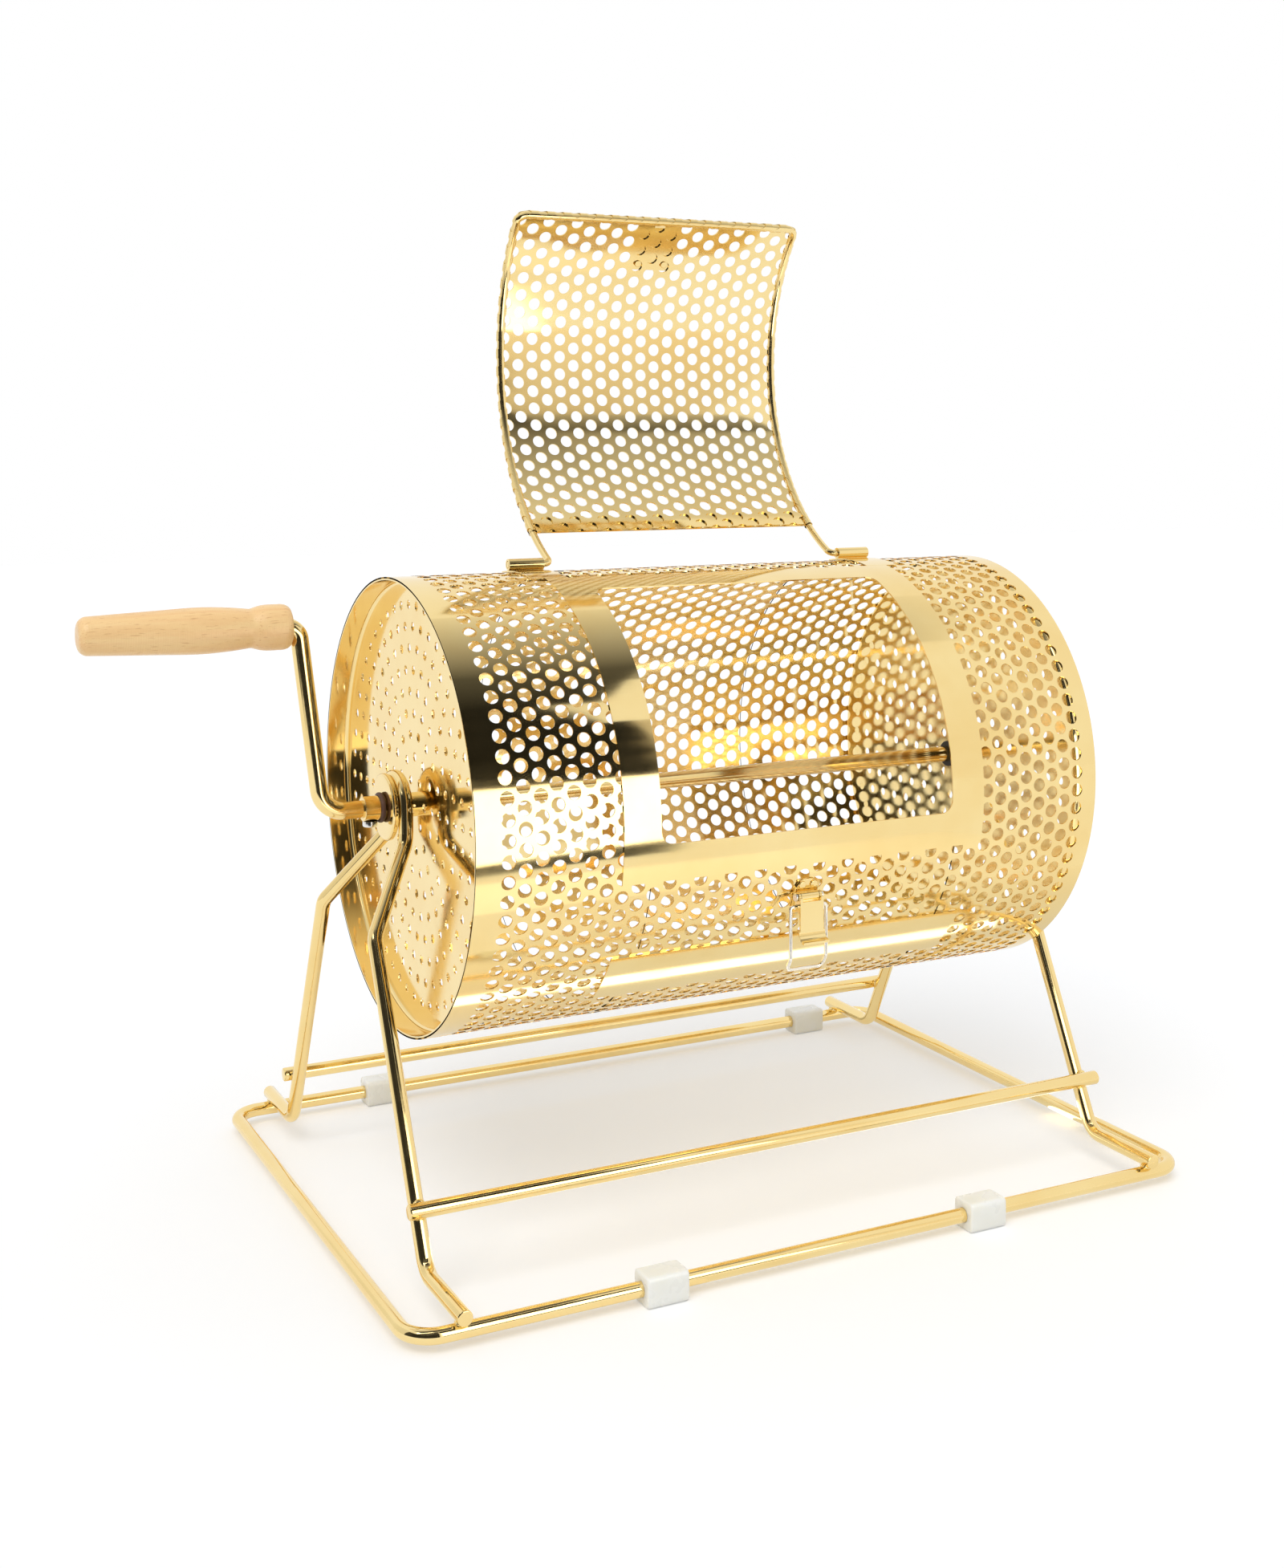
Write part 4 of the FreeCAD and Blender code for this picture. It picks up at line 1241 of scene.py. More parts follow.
        lip_faces = grid_faces(len(reach), parts, False, True)
        front = np.concatenate([disc, lip.reshape(-1, 3)])
        normal = np.concatenate([disc_normal, lip_normal.reshape(-1, 3)])
        faces = np.concatenate(faces + [lip_faces + count])
        return sheet(front, front - normal * self.sheet_t, normal, faces)

    def lower_doubler(self) -> Surface:
        """The plain strip of sheet rolled on the drum below the latch.

        Returns:
            The strip.
        """
        side = DRUM_MIDDLE + self.strip_half_w * np.linspace(-1.0, 1.0, 25)
        x, angle = np.meshgrid(side, np.linspace(self.strip_low, self.strip_top, 17), indexing="ij")
        x, angle = x.ravel(), angle.ravel()
        front = round_drum(x, self.plate_in + self.sheet_t, angle)
        back = round_drum(x, self.plate_in, angle)
        return sheet(front, back, outward(angle), grid_faces(25, 17, False, False))

    def frame_plate(self) -> Surface:
        """The smooth doubler round the door opening.

        A point lies at a share s of the way from the opening's rounded border to the plate's square one, both
        gone round at the same steps, in the rolled sheet's own coordinates.

        Returns:
            The plate.
        """
        arc = math.radians(self.radius)
        quarter = np.linspace(0.0, math.pi / 2, 11)
        share = np.linspace(0.0, 1.0, 6)[:, None]
        run = np.linspace(0.0, 1.0, 42)[1:-1, None]
        inner, outer = [], []
        for turn, (side, rise) in enumerate(((1, 1), (-1, 1), (-1, -1), (1, -1))):
            edge = arc * (self.opening_top if rise > 0 else self.opening_low)
            tip = np.array([side * self.plate_half_w, arc * (self.plate_top if rise > 0 else self.plate_low)])
            heart = np.array([side * (self.opening_half_w - self.opening_r), edge - rise * self.opening_r])
            swing = quarter + turn * math.pi / 2
            bend = heart + self.opening_r * np.stack([np.cos(swing), np.sin(swing)], 1)
            axis = turn % 2
            before, after = tip.copy(), tip.copy()
            before[1 - axis] = bend[0, 1 - axis]
            after[axis] = bend[-1, axis]
            inner.append(bend)
            outer.append(np.concatenate([before + (tip - before) * share, (tip + (after - tip) * share)[1:]]))
        loops = []
        for line in (inner, outer):
            parts = []
            for here, following in zip(line, line[1:] + line[:1]):
                parts += [here, here[-1] + (following[0] - here[-1]) * run]
            loops.append(np.concatenate(parts))
        flat = (loops[0] + (loops[1] - loops[0]) * share[..., None]).reshape(-1, 2)
        x, angle = DRUM_MIDDLE + flat[:, 0], flat[:, 1] / arc
        front = round_drum(x, self.plate_in + self.sheet_t, angle)
        back = round_drum(x, self.plate_in, angle)
        return sheet(front, back, outward(angle), grid_faces(6, len(loops[0]), False, True))

    def hub(self, x0: float, x1: float) -> Surface:
        """A hub tube, with its edges broken."""
        profile = eased_ring(self.axle_r + self.fit, self.hub_r, x0, x1, self.hub_ease)
        return turned(profile, closed=True, sides=64)

    def rubber_ring(
        self, inner: float, outer: float, span: tuple[float, float], ease: float
    ) -> Surface:
        """A rubber ring along the axle, with its outer edges rounded."""
        return turned(eased_ring(inner + self.fit, outer, *span, ease), closed=True, sides=64)

    def set_screw(self) -> Surface:
        """The screw's head below the hub tube: a round head with a rounded rim and a straight slot.

        A point is (x + r cos a, r sin a, z). Across the slot, the end face goes up by the slot's depth.

        Returns:
            The head.
        """
        sides = 48
        x, radius, height = self.screw_x, self.screw_r, self.screw_h
        top = AXLE_Z - self.hub_r - self.fit
        corners = np.array([[0.0, top - height], [radius, top - height], [radius, top], [0.0, top]])
        profile = bent_path(corners, [self.screw_ease, 0.1], steps=6)
        reach = np.concatenate([np.linspace(0.0, radius - self.slot_depth, 6)[:-1], profile[1:, 0]])
        level = np.concatenate([np.full(5, top - height), profile[1:, 1]])
        turn = np.linspace(0.0, 2 * math.pi, sides, endpoint=False)
        grid = np.stack(
            [x + reach[:, None] * np.cos(turn), reach[:, None] * np.sin(turn), level[:, None] + 0.0 * turn],
            axis=-1,
        )
        slot = (np.abs(grid[..., 1]) < self.slot_half) & (grid[..., 2] < top - height + 0.05)
        grid[..., 2] += self.slot_depth * slot
        return closed_shell(grid, False)

    def build(self, shop: Workshop, finish: Finishes) -> None:
        """Makes the drum's pieces.

        Args:
            shop: Where they are made.
            finish: The finishes.
        """
        seam_left = DRUM_MIDDLE - self.opening_half_w - self.cut_back
        seam_right = DRUM_MIDDLE + self.opening_half_w + self.cut_back
        step = math.degrees(self.cut_back / self.radius)
        span = (self.opening_top + step, self.opening_low - step + 360.0)
        shells = (
            ("shell_left", (self.left, seam_left), (0.0, 360.0)),
            ("shell_right", (seam_right, self.right), (0.0, 360.0)),
            ("shell_middle", (seam_left, seam_right), span),
        )
        gold = (finish.sheet, "drum", Slot.SHEET)
        for name, x_span, turn in shells:
            shop.piece(name, self.rolled_mesh(x_span, turn), *gold, ("drum_shell",))
        for end, word in ((End.LEFT, "left"), (End.RIGHT, "right")):
            shop.piece(word + "_cap", self.end_cap(end), *gold, (word + "_end_cap",))
        shop.piece("door_surround", self.frame_plate(), *gold, ("door_frame_plate",))
        shop.piece("lower_strip", self.lower_doubler(), *gold, ("latch_strip",))
        for word, ends in (("left", self.left_hub_span), ("right", self.right_hub_span)):
            tube = self.hub(*ends)
            shop.piece(word + "_hub", tube, finish.rod, "drum", Slot.TUBE, (word + "_hub_tube",))
        outer = self.rubber_ring(
            self.hub_r, self.outer_ring_r, self.outer_ring_span, self.outer_ring_ease
        )
        shop.piece("outer_ring", outer, finish.brown, "drum", Slot.BROWN_RUBBER, ("outer_friction_ring",))
        inner = self.rubber_ring(
            self.axle_r, self.inner_ring_r, self.inner_ring_span, self.inner_ring_ease
        )
        shop.piece("inner_ring", inner, finish.black, "drum", Slot.BLACK_RUBBER, ("inner_friction_ring",))
        shop.piece("screw_head", self.set_screw(), finish.steel, "drum", Slot.STEEL, ("crank_set_screw",))
        for word in ("left", "right"):
            shop.eased_copy(word + "_hinge_clip", *gold, self.clip_ease)


def smooth_through(knots: Array, values: Array, places: Array) -> Array:
    """A smooth curve through a few values: cubic steps whose slopes are the mean of the neighbouring rises.

    Args:
        knots: Where the values are.
        values: The values.
        places: Where the curve is wanted.

    Returns:
        The curve's values.
    """
    rise = np.diff(values) / np.diff(knots)
    slope = np.concatenate([rise[:1], (rise[1:] + rise[:-1]) / 2, rise[-1:]])
    step = np.clip(np.searchsorted(knots, places, side="right") - 1, 0, len(knots) - 2)
    width = knots[step + 1] - knots[step]
    s = (places - knots[step]) / width
    return (
        (2 * s**3 - 3 * s**2 + 1) * values[step]
        + (s**3 - 2 * s**2 + s) * width * slope[step]
        + (3 * s**2 - 2 * s**3) * values[step + 1]
        + (s**3 - s**2) * width * slope[step + 1]
    )


@dataclass
class Crank:
    """The bent axle, with the turned grip on its end."""

    axle_r: float = 4.75
    right_end: float = 213.65
    crank_x: float = -219.5
    throw: float = 101.0
    lean: float = 11.0
    elbow_r: float = 14.0
    top_r: float = 8.0
    grip_x: float = -343.5
    grip_len: float = 108.4
    grip_r: float = 12.15
    groove_r: float = 10.25
    end_r: float = 9.6
    head_len: float = 21.0
    blind: float = 14.0
    mouth_r: float = 6.4
    mouth_depth: float = 5.0

    def axle(self) -> Surface:
        """One round rod: the axle, the crank arm and the spindle inside the grip."""
        top = AXLE_Z + self.throw
        corners = np.array(
            [
                [self.right_end, 0.0, AXLE_Z],
                [self.crank_x, 0.0, AXLE_Z],
                [self.crank_x - self.lean, 0.0, top],
                [self.grip_x + self.blind, 0.0, top],
            ]
        )
        path = bent_path(corners, [self.elbow_r, self.top_r], steps=18)
        return wire(path, self.axle_r, np.array([0.0, 1.0, 0.0]), sides=36)

    def grip(self) -> Surface:
        """The turned grip.

        Its profile runs through a few stations, with the radius between them on a smooth curve: the share s of
        each step is eased by 3 s^2 - 2 s^3 where the slope turns, and the bore goes back in to its blind end.
        """
        x1 = self.grip_x + self.grip_len
        nose = 5.0
        quarter = np.linspace(0.0, math.pi / 2, 9)
        nose_x = self.grip_x + nose * (1.0 - np.cos(quarter))
        nose_r = self.end_r - nose + 0.4 + nose * np.sin(quarter)
        knots_x = np.array(
            [
                self.grip_x + nose,
                self.grip_x + self.grip_len * 0.35,
                self.grip_x + self.grip_len * 0.58,
                x1 - self.head_len - 10.0,
                x1 - self.head_len,
            ]
        )
        knots_r = np.array([self.end_r + 0.4, self.grip_r - 0.8, self.grip_r, self.grip_r - 0.8, self.groove_r])
        barrel_x = np.linspace(knots_x[0], knots_x[-1], 60)[1:]
        barrel_r = smooth_through(knots_x, knots_r, barrel_x)
        head_knots = np.array([x1 - self.head_len, x1 - self.head_len + 6.0, x1 - 5.0])
        head_x = np.linspace(head_knots[0], head_knots[-1], 18)[1:]
        head_r = smooth_through(head_knots, np.array([self.groove_r, self.grip_r - 0.3, self.grip_r]), head_x)
        lip_x = x1 - 5.0 + 5.0 * np.sin(quarter[1:])
        lip_r = self.grip_r - 3.0 + 3.0 * np.cos(quarter[1:])
        inside = x1 - self.mouth_depth
        bottom = self.grip_x + self.blind - 1.0
        bore = self.axle_r + 0.06
        tail = np.array(
            [
                [x1, self.mouth_r + 0.3],
                [x1 - 0.3, self.mouth_r],
                [inside, self.mouth_r],
                [inside, bore],
                [bottom, bore],
                [bottom, 0.0],
            ]
        )
        lead = np.array([[self.grip_x, 0.0]])
        body = np.concatenate(
            [
                lead,
                np.stack([nose_x, nose_r], 1),
                np.stack([barrel_x, barrel_r], 1),
                np.stack([head_x, head_r], 1),
                np.stack([lip_x, lip_r], 1),
                tail,
            ]
        )
        return turned(body, z=AXLE_Z + self.throw, sides=72)

    def build(self, shop: Workshop, finish: Finishes) -> None:
        """Makes the crank's pieces."""
        shop.piece("crank_rod", self.axle(), finish.rod, "drum", Slot.ROD, ("crank_axle",))
        shop.piece("grip_wood", self.grip(), finish.beech, "grip", Slot.BEECH, ("crank_grip",), sharp=50.0)
        shop.dress("grip_ring", finish.steel)


@dataclass
class Door:
    """The perforated door, shown where it rests open: turned back over the drum about its hinge."""

    radius: float = 129.15
    half_w: float = 92.8
    sheet_t: float = 0.8
    wire_r: float = 2.0
    hem_r: float = 2.65
    edge_angle: float = 80.4
    free_angle: float = -11.0
    corner_r: float = 5.5
    hinge_angle: float = 93.7
    hinge_bend_r: float = 4.0
    pin_len: float = 22.0
    fold_width: float = 12.0
    open_angle: float = 150.5
    pitch: float = 10.47
    hole_r: float = 3.65

    def hinge(self) -> tuple[float, float]:
        """The hinge's radius, and the angle where the wire leaves the hinge's bend."""
        radius = math.hypot(self.radius, self.hinge_bend_r)
        return radius, self.hinge_angle - math.degrees(math.atan2(self.hinge_bend_r, self.radius))

    def opened(self, surface: Surface) -> Surface:
        """The surface turned about the hinge from shut to open.

        Args:
            surface: A surface of the shut door.

        Returns:
            The same surface, with its points and normals turned about X through the hinge.
        """
        radius, _ = self.hinge()
        heart = round_drum(0.0, radius, self.hinge_angle)
        turn = math.radians(-self.open_angle)
        c, s = math.cos(turn), math.sin(turn)
        matrix = np.array([[1.0, 0.0, 0.0], [0.0, c, -s], [0.0, s, c]])
        points = (surface.points - heart) @ matrix.T + heart
        normals = None if surface.normals is None else surface.normals @ matrix.T
        return Surface(points, surface.faces, normals)

    def perforated(self, radius: float, low: float, top: float, plain_from: float, inset: float) -> Surface:
        """A perforated part of the door's rolled sheet.

        Args:
            radius: Its middle radius.
            low: Its first angle.
            top: Its last angle.
            plain_from: The angle past which it has no holes.
            inset: How far its sides lie inside the door's. Where it is nought, the low corners are rounded.

        Returns:
            The sheet of the shut door, with its front outwards.
        """
        arc = math.radians(self.radius)
        step = self.pitch * math.sqrt(3) / 2
        columns = np.arange(-12, 13)
        rows = np.arange(int(low * arc / self.pitch) - 3, int(top * arc / self.pitch) + 4)
        u = np.broadcast_to(columns[:, None] * step, (len(columns), len(rows))).ravel()
        v = (rows[None] * self.pitch + self.pitch / 2 * (columns % 2)[:, None]).ravel()
        is_open = v < plain_from * arc
        flat, faces = honeycomb(np.stack([u, v], 1), self.pitch, self.hole_r, is_open)
        half = self.half_w - inset
        round_r = 0.0 if inset else self.corner_r
        flat = kept_inside(flat, (-half, low * arc), (half, top * arc), round_r)
        x, angle = DRUM_MIDDLE + flat[:, 0], flat[:, 1] / arc
        front = round_drum(x, radius + self.sheet_t / 2, angle)
        back = round_drum(x, radius - self.sheet_t / 2, angle)
        return sheet(front, back, outward(angle), faces)

    def rolled_hem(self, path: Array, lean: Array) -> Surface:
        """The sheet's edge rolled round the wire, with the holes that it carries along.

        A flat point (t, s) goes to the path at the length s, plus the roll's radius r times
        n cos(t/r) + b sin(t/r), where n points away from the axle and b is square to n and the path.

        Args:
            path: The wire's line on the shut door.
            lean: The direction away from the axle at each point.

        Returns:
            The sheet.
        """
        length = np.concatenate([[0.0], np.cumsum(np.linalg.norm(np.diff(path, axis=0), axis=1))])
        girth = 2 * math.pi * self.hem_r
        count = int(round(length[-1] / self.pitch))
        pitch = length[-1] / count
        t = np.repeat([girth / 4, 3 * girth / 4], count + 2)
        number = np.arange(-1, count + 1)
        s = np.concatenate([number * pitch + pitch / 2, number * pitch + pitch])
        even = pitch * math.sqrt(3) / 2
        squash = girth / 2 / even
        holed = np.ones(len(t), bool)
        flat, faces = honeycomb(np.stack([t, s], 1), pitch, self.hole_r * 0.86, holed, squash)
        flat = np.stack([flat[:, 0], np.clip(flat[:, 1], 0.0, length[-1])], 1)
        centre = np.stack([np.interp(flat[:, 1], length, path[:, axis]) for axis in range(3)], 1)
        across = np.stack([np.interp(flat[:, 1], length, lean[:, axis]) for axis in range(3)], 1)
        slope = np.gradient(path, length, axis=0)
        along = unit(np.stack([np.interp(flat[:, 1], length, slope[:, axis]) for axis in range(3)], 1))
        across = unit(across - along * np.einsum("ij,ij->i", across, along)[:, None])
        turn = (flat[:, :1]) / self.hem_r
        normal = across * np.cos(turn) + np.cross(along, across) * np.sin(turn)
        wall = 0.55
        return sheet(centre + self.hem_r * normal, centre + (self.hem_r - wall) * normal, normal, faces)

    def edge_path(self, top: float, with_pins: bool) -> tuple[Array, Array]:
        """The door wire's line, from one side over the free edge to the other.

        Args:
            top: The angle where each side starts.
            with_pins: Whether the hinge's bends and pins are part of it.

        Returns:
            The points, and the direction away from the axle at each.
        """
        free = self.free_angle + math.degrees(self.corner_r / self.radius)
        hinge_r, _ = self.hinge()
        angle = np.linspace(top, free, 60)
        side = round_drum(np.full(60, self.half_w), self.radius, angle)
        swing = np.linspace(0.0, math.pi / 2, 13)[1:]
        bend_x = self.half_w - self.corner_r * (1.0 - np.cos(swing))
        bend_angle = free - np.degrees(self.corner_r * np.sin(swing) / self.radius)
        bend = round_drum(bend_x, self.radius, bend_angle)
        half = np.concatenate([side, bend])
        lean = outward(np.concatenate([angle, bend_angle]))
        if with_pins:
            turn = np.linspace(0.0, math.pi / 2, 13)[:-1]
            back = np.degrees(self.hinge_bend_r * (1.0 - np.cos(turn)) / self.radius)
            pin_angle = np.concatenate([[self.hinge_angle], self.hinge_angle - back])
            bend_x = self.half_w + self.hinge_bend_r * (1.0 - np.sin(turn))
            pin_x = np.concatenate([[self.half_w + self.hinge_bend_r + self.pin_len], bend_x])
            reach = hinge_r + (self.radius - hinge_r) * np.sin(np.concatenate([[0.0], turn]))
            half = np.concatenate([round_drum(pin_x, reach, pin_angle), half])
            lean = np.concatenate([outward(pin_angle), lean])
        flip = np.array([-1.0, 1.0, 1.0])
        line = np.concatenate([half, half[::-1] * flip])
        return line + np.array([DRUM_MIDDLE, 0.0, 0.0]), np.concatenate([lean, lean[::-1]])

    def build(self, shop: Workshop, finish: Finishes) -> None:
        """Makes the door's pieces."""
        fold_low = self.edge_angle - math.degrees(self.fold_width / self.radius)
        main = self.perforated(self.radius, self.free_angle, self.edge_angle, fold_low + 1.5, 0.0)
        inner_fold = self.perforated(self.radius - 0.95, fold_low, self.edge_angle, 90.0, 1.0)
        hem = self.rolled_hem(*self.edge_path(self.edge_angle, False))
        panel = self.opened(Surface.joined([main, inner_fold, hem]))
        shop.piece("door_sheet", panel, finish.sheet, "door", Slot.SHEET, ("door_panel",))
        _, leave = self.hinge()
        path, lean = self.edge_path(leave, True)
        frame = self.opened(wire(path, self.wire_r, lean, sides=20, end_round=0.5))
        shop.piece("door_frame_wire", frame, finish.wire, "door", Slot.WIRE, ("door_wire",))


@dataclass
class Latch:
    """The small latch under the opening, and the keeper on the door."""

    angle: float = -20.6
    pin_radius: float = 129.1
    bail_drop: float = 5.0
    bail_half_w: float = 11.0
    bail_len: float = 35.0
    bail_r: float = 1.0
    bend_r: float = 3.0
    eye_bend_r: float = 1.5
    kink_len: float = 6.5
    kink_in: float = 4.2
    bail_end: float = 5.6

    def bail(self) -> Surface:
        """The wire bail: two ends in the lever's ears, two legs bent in near their ends, and a cross bar.

        Returns:
            The wire as it hangs.
        """
        pin = round_drum(DRUM_MIDDLE, self.pin_radius, self.angle)
        y, top = pin[1], pin[2] - self.bail_drop
        low = top - self.bail_len
        half = np.array(
            [
                [-self.bail_end, y, top],
                [-self.bail_half_w, y, top],
                [-self.bail_half_w, y, low + self.kink_len],
                [-self.bail_half_w, y + self.kink_in, low],
            ]
        )
        corners = np.concatenate([half, half[::-1] * np.array([-1.0, 1.0, 1.0])])
        corners = corners + np.array([DRUM_MIDDLE, 0.0, 0.0])
        bends = [self.eye_bend_r, self.bend_r, self.bend_r]
        path = bent_path(corners, bends + bends[::-1], steps=10)
        return wire(path, self.bail_r, np.array([0.0, 1.0, 0.0]), sides=16, end_round=0.3)

    def build(self, shop: Workshop, finish: Finishes) -> None:
        """Makes the latch's pieces."""
        shop.piece("bail_wire", self.bail(), finish.pale, "bail", Slot.PALE_WIRE, ("latch_bail",))
        shop.eased_copy("latch_base", finish.sheet, "drum", Slot.SHEET, 0.2)
        shop.eased_copy("latch_pin", finish.steel, "drum", Slot.STEEL, 0.3)
        shop.eased_copy("latch_rivets", finish.sheet, "drum", Slot.SHEET, 0.35)
        shop.eased_copy("latch_lever", finish.sheet, "lever", Slot.SHEET, 0.25)
        shop.eased_copy("door_keeper", finish.sheet, "door", Slot.SHEET, 0.25)
        shop.eased_copy("keeper_rivets", finish.sheet, "door", Slot.SHEET, 0.35)


@dataclass
class Studio:
    """A pale floor, soft light and the camera."""

    focal_px: float = 2342.68
    width_px: float = 1600.0
    height_px: float = 1954.0
    centre_px: tuple[float, float] = (841.0, 729.58)
    eye: tuple[float, float, float] = (-501.46, -971.97, 421.50)
    yaw: float = 0.4707
    pitch: float = -0.0755
    roll: float = -0.0043
    floor_glow: float = 0.24
    fill_strength: float = 0.72
    sun_aim: Corner = (0.45, 0.5, -1.0)
    sun_strength: float = 1.0
    sun_spread: float = 40.0
    card_tone: Colour = (1.0, 0.99, 0.965, 1.0)
    warm_tone: Colour = (1.0, 0.93, 0.82, 1.0)

    def camera(self) -> None:
        """Places the camera by its yaw, pitch and roll, with its axis off the picture's middle."""
        ahead = Vector(
            (
                math.sin(self.yaw) * math.cos(self.pitch),
                math.cos(self.yaw) * math.cos(self.pitch),
                math.sin(self.pitch),
            )
        )
        right = Vector((math.cos(self.yaw), -math.sin(self.yaw), 0.0))
        up = right.cross(ahead)
        across = right * math.cos(self.roll) + up * math.sin(self.roll)
        upward = up * math.cos(self.roll) - right * math.sin(self.roll)
        data = bpy.data.cameras.new("camera")
        data.sensor_fit = "HORIZONTAL"
        data.sensor_width = 36.0
        data.lens = self.focal_px * 36.0 / self.width_px
        data.shift_x = (self.width_px / 2 - self.centre_px[0]) / self.width_px
        data.shift_y = (self.centre_px[1] - self.height_px / 2) / self.width_px
        data.clip_end = 50.0
        turn = Matrix((across, upward, -ahead)).transposed().to_4x4()
        eye = Vector(((self.eye[0] + STAND_SHIFT) / 1000, self.eye[1] / 1000, self.eye[2] / 1000))
        made = bpy.data.objects.new("camera", data)
        made.matrix_world = Matrix.Translation(eye) @ turn
        bpy.context.scene.collection.objects.link(made)
        bpy.context.scene.camera = made

    def floor(self) -> None:
        """A wide pale floor that shows the object's shadow and is near white elsewhere."""
        mesh = bpy.data.meshes.new("floor")
        mesh.from_pydata([(-6, -6, 0), (6, -6, 0), (6, 6, 0), (-6, 6, 0)], [], [(0, 1, 2, 3)])
        made = bpy.data.objects.new("floor", mesh)
        bpy.context.scene.collection.objects.link(made)
        pale, nodes = blank_material("floor_paper")
        glow = nodes.add("ShaderNodeMath", operation="MULTIPLY", _0=seen_directly(nodes), _1=self.floor_glow)
        paper = nodes.add(
            "ShaderNodeBsdfPrincipled",
            Base_Color=(0.82, 0.82, 0.82, 1.0),
            Roughness=0.9,
            Specular_IOR_Level=0.1,
            Emission_Color=(1.0, 1.0, 1.0, 1.0),
            Emission_Strength=glow.outputs["Value"],
        )
        nodes.add("ShaderNodeOutputMaterial", Surface=paper.outputs["BSDF"])
        mesh.materials.append(pale)

    def world(self) -> None:
        """A white surround to the eye and in reflections, and a soft fill for everything else."""
        world = bpy.data.worlds.new("studio")
        bpy.context.scene.world = world
        world.use_nodes = True
        nodes = Nodes(world.node_tree)
        fill = nodes.add("ShaderNodeBackground", Color=(0.95, 0.97, 1.0, 1.0), Strength=self.fill_strength)
        white = nodes.add("ShaderNodeBackground", Color=(1.0, 1.0, 1.0, 1.0), Strength=1.0)
        mix = nodes.add("ShaderNodeMixShader", _0=seen_directly(nodes))
        world.node_tree.links.new(fill.outputs[0], mix.inputs[1])
        world.node_tree.links.new(white.outputs[0], mix.inputs[2])
        nodes.add("ShaderNodeOutputWorld", Surface=mix.outputs[0])

    def sun(self) -> None:
        """A wide, even lamp from a long way off, over the camera's left shoulder."""
        aim = Vector(self.sun_aim).normalized()
        data = bpy.data.lights.new("key", "SUN")
        data.energy = self.sun_strength
        data.angle = math.radians(self.sun_spread)
        made = bpy.data.objects.new("key", data)
        turn = (-aim).to_track_quat("Z", "Y").to_matrix().to_4x4()
        made.matrix_world = Matrix.Translation(-2.0 * aim) @ turn
        bpy.context.scene.collection.objects.link(made)

    def card(self, name: str, corners: tuple[Corner, ...], levels: tuple[float, ...], tone: Colour) -> None:
        """A card round the set that only reflections see, evenly shaded between its corners.

        Args:
            name: Its name.
            corners: Its four corners in metres, in order round it.
            levels: How bright each corner is; 1 is white.
            tone: Its colour at that brightness.
        """
        mesh = bpy.data.meshes.new(name)
        steps = 8
        u, v = np.meshgrid(np.linspace(0.0, 1.0, steps + 1), np.linspace(0.0, 1.0, steps + 1), indexing="ij")
        share = np.stack([(1 - u) * (1 - v), u * (1 - v), u * v, (1 - u) * v], -1).reshape(-1, 4)
        points = share @ np.array(corners)
        light = share @ np.array(levels)
        mesh.from_pydata(points.tolist(), [], grid_faces(steps + 1, steps + 1, False, False).tolist())
        shade = mesh.attributes.new("level", "FLOAT", "POINT")
        shade.data.foreach_set("value", light.astype(np.float32))
        made = bpy.data.objects.new(name, mesh)
        bpy.context.scene.collection.objects.link(made)
        paint, nodes = blank_material(name)
        level = nodes.add("ShaderNodeAttribute", attribute_name="level")
        glow = nodes.add("ShaderNodeEmission", Color=tone, Strength=level.outputs["Fac"])
        nodes.add("ShaderNodeOutputMaterial", Surface=glow.outputs["Emission"])
        mesh.materials.append(paint)
        made.visible_camera = False
        made.visible_diffuse = False
        made.visible_shadow = False
        made.visible_transmission = False

    def upright(
        self, name: str, y: float, edge: tuple[tuple[float, float], ...], levels: tuple[float, ...]
    ) -> None:
        """A card that stands across the front of the set.

        Args:
            name: Its name.
            y: Where it stands.
            edge: Its corners (x, z): low left, low right, high right and high left.
            levels: How bright they are.
        """
        self.card(name, tuple((x, y, z) for x, z in edge), levels, self.card_tone)

    def lying(
        self, name: str, x: tuple[float, float], y: tuple[float, float], z: float, levels: tuple[float, ...]
    ) -> None:
        """A card that lies over or under the set.

        Args:
            name: Its name.
            x: Its left and right edges.
            y: Its front and rear edges.
            z: Its height.
            levels: How bright its corners are: front left, front right, rear right and rear left.
        """
        corners = ((x[0], y[0], z), (x[1], y[0], z), (x[1], y[1], z), (x[0], y[1], z))
        self.card(name, corners, levels, self.card_tone)

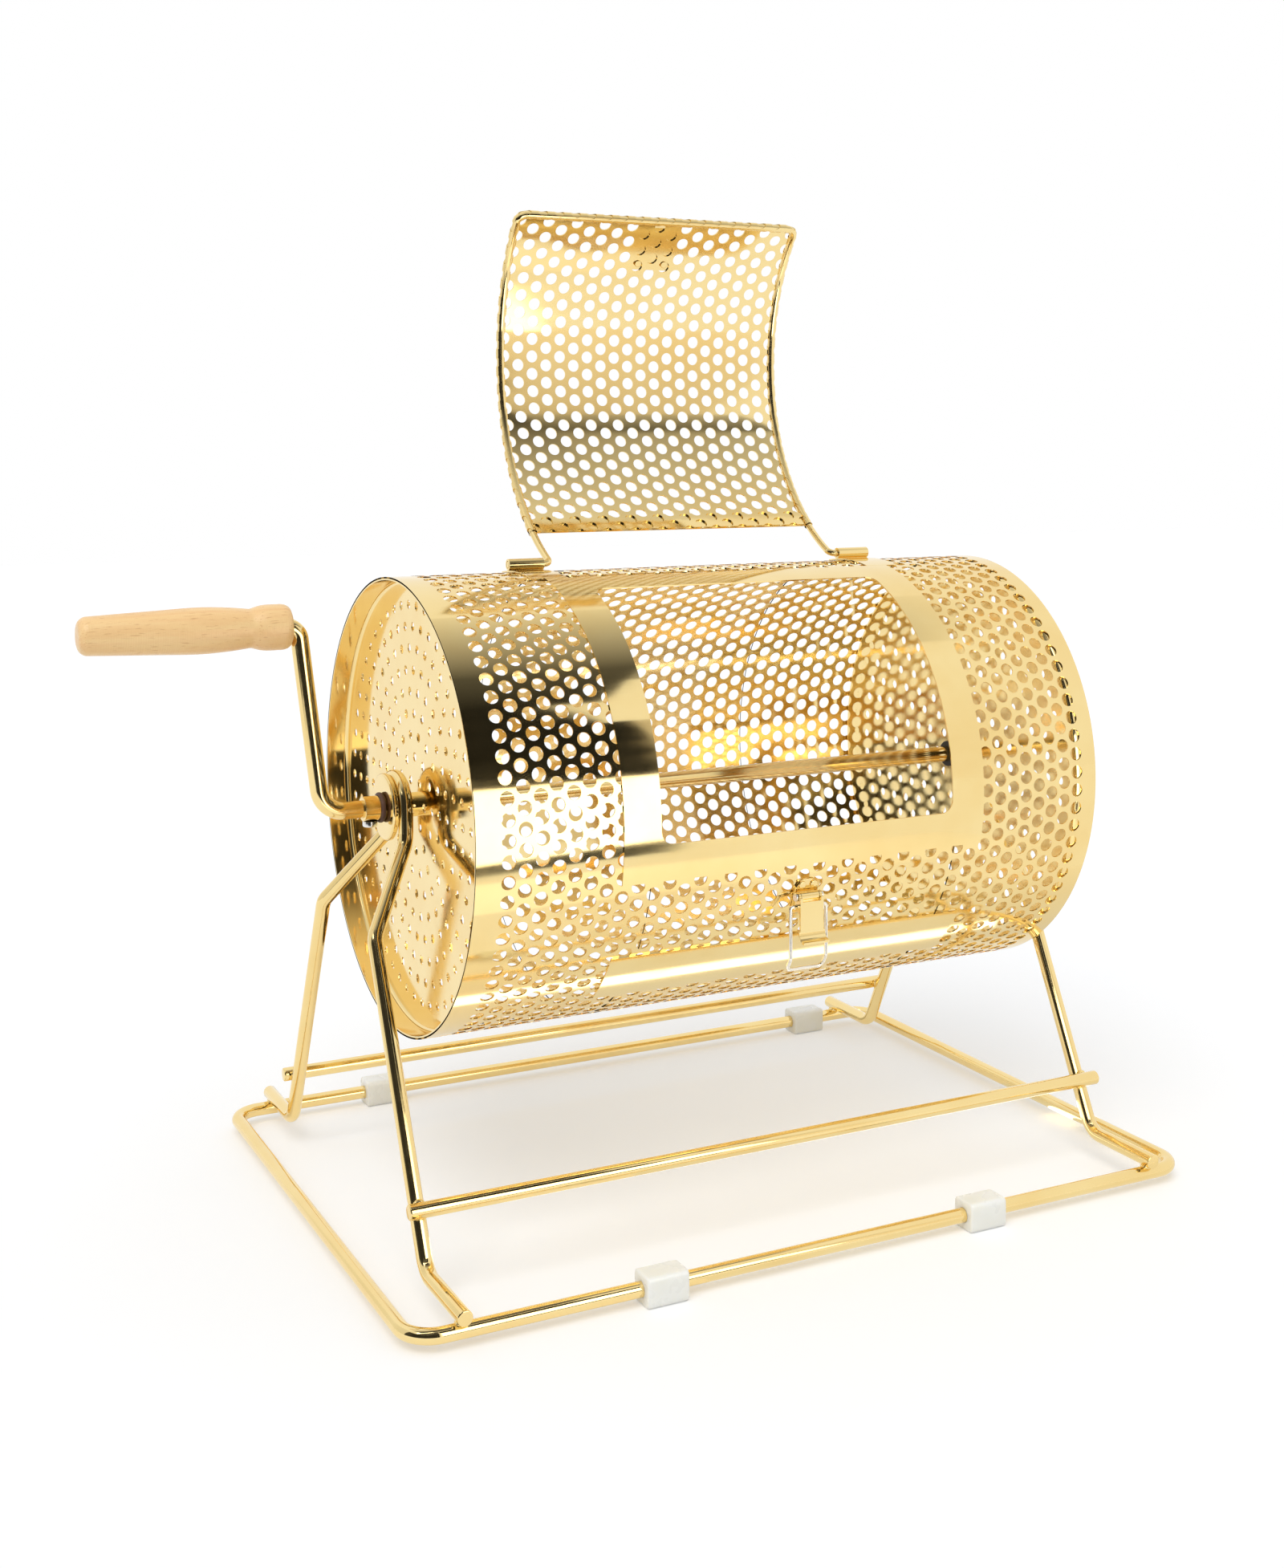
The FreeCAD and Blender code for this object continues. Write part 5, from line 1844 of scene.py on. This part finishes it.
    def cards(self) -> None:
        """Dark cards ahead of and over the set's left half, and bright paper low in front and below."""
        dark = (0.016,) * 4
        white = (3.2,) * 4
        near, far, over = -0.5, -1.0, 0.62
        self.upright("dark_front", near, ((-0.12, 0.353), (0.172, 0.353), (0.215, 0.64), (-0.12, 0.64)), dark)
        self.upright("dark_high", near, ((-0.12, 0.64), (0.19, 0.64), (0.205, 0.86), (-0.12, 0.86)), dark)
        self.upright("bright_low", near, ((-0.12, 0.04), (0.25, 0.11), (0.25, 0.353), (-0.12, 0.353)), white)
        thin = ((-0.12, 0.0), (0.185, 0.045), (0.185, 0.105), (-0.12, 0.04))
        self.upright("dark_thin", near, thin, (0.06,) * 4)
        self.upright("dark_camera", near, ((-1.1, 0.0), (-0.16, 0.0), (-0.12, 0.9), (-1.1, 0.9)), (0.03,) * 4)
        tone = ((0.36, far, 0.20), (0.76, far, 0.20), (0.76, far, 1.10), (0.36, far, 1.10))
        self.card("half_tone", tone, (1.0, 1.0, 0.72, 0.64), self.warm_tone)
        self.lying("dark_over", (-0.50, 0.135), (-0.345, -0.20), over, (0.016, 0.016, 0.09, 0.10))
        self.lying("brown_over", (-0.50, 0.135), (-0.20, 0.06), over, (0.10, 0.09, 0.85, 0.95))
        self.lying("dark_line", (0.135, 0.34), (-0.25, -0.17), over, (0.45, 0.5, 0.10, 0.05))
        self.lying("half_over", (0.135, 0.30), (-0.17, 0.05), over, (0.35, 0.45, 0.81, 0.75))
        self.lying("fade_over", (0.30, 0.42), (-0.17, 0.05), over, (0.45, 1.0, 1.0, 0.81))
        self.lying("cream_floor", (-0.32, 0.42), (-0.47, -0.30), 0.003, (1.7, 1.05, 1.05, 1.4))
        self.lying("half_under", (-0.02, 0.45), (-0.20, 0.0), 0.002, (0.95, 1.0, 0.75, 0.8))
        self.lying("bright_under", (-0.09, 0.31), (-0.074, -0.050), 0.004, (3.2, 3.0, 3.0, 3.2))
        side = ((-1.3, -0.3, 0.0), (-1.3, 2.4, 0.0), (-1.3, 2.4, 1.5), (-1.3, -0.3, 1.5))
        self.card("half_side", side, (0.80, 0.92, 0.92, 0.80), self.card_tone)
        left = ((-1.1, -0.5, 0.0), (-1.1, -0.05, 0.0), (-1.1, -0.05, 0.9), (-1.1, -0.5, 0.9))
        self.card("dark_left", left, (0.03, 0.08, 0.08, 0.03), self.card_tone)

    def build(self) -> None:
        """Sets the camera, the floor, the light and the cards."""
        scene = bpy.context.scene
        scene.view_settings.view_transform = "Standard"
        self.camera()
        self.floor()
        self.world()
        self.sun()
        self.cards()


def main() -> None:
    """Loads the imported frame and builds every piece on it."""
    logging.basicConfig(level=logging.INFO, format="%(message)s")
    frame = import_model()
    shop = Workshop(frame)
    Studio().build()
    finish = Finishes.build()
    Stand().build(shop, finish)
    Drum().build(shop, finish)
    Crank().build(shop, finish)
    Door().build(shop, finish)
    Latch().build(shop, finish)
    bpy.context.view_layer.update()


if __name__ == "__main__":
    main()
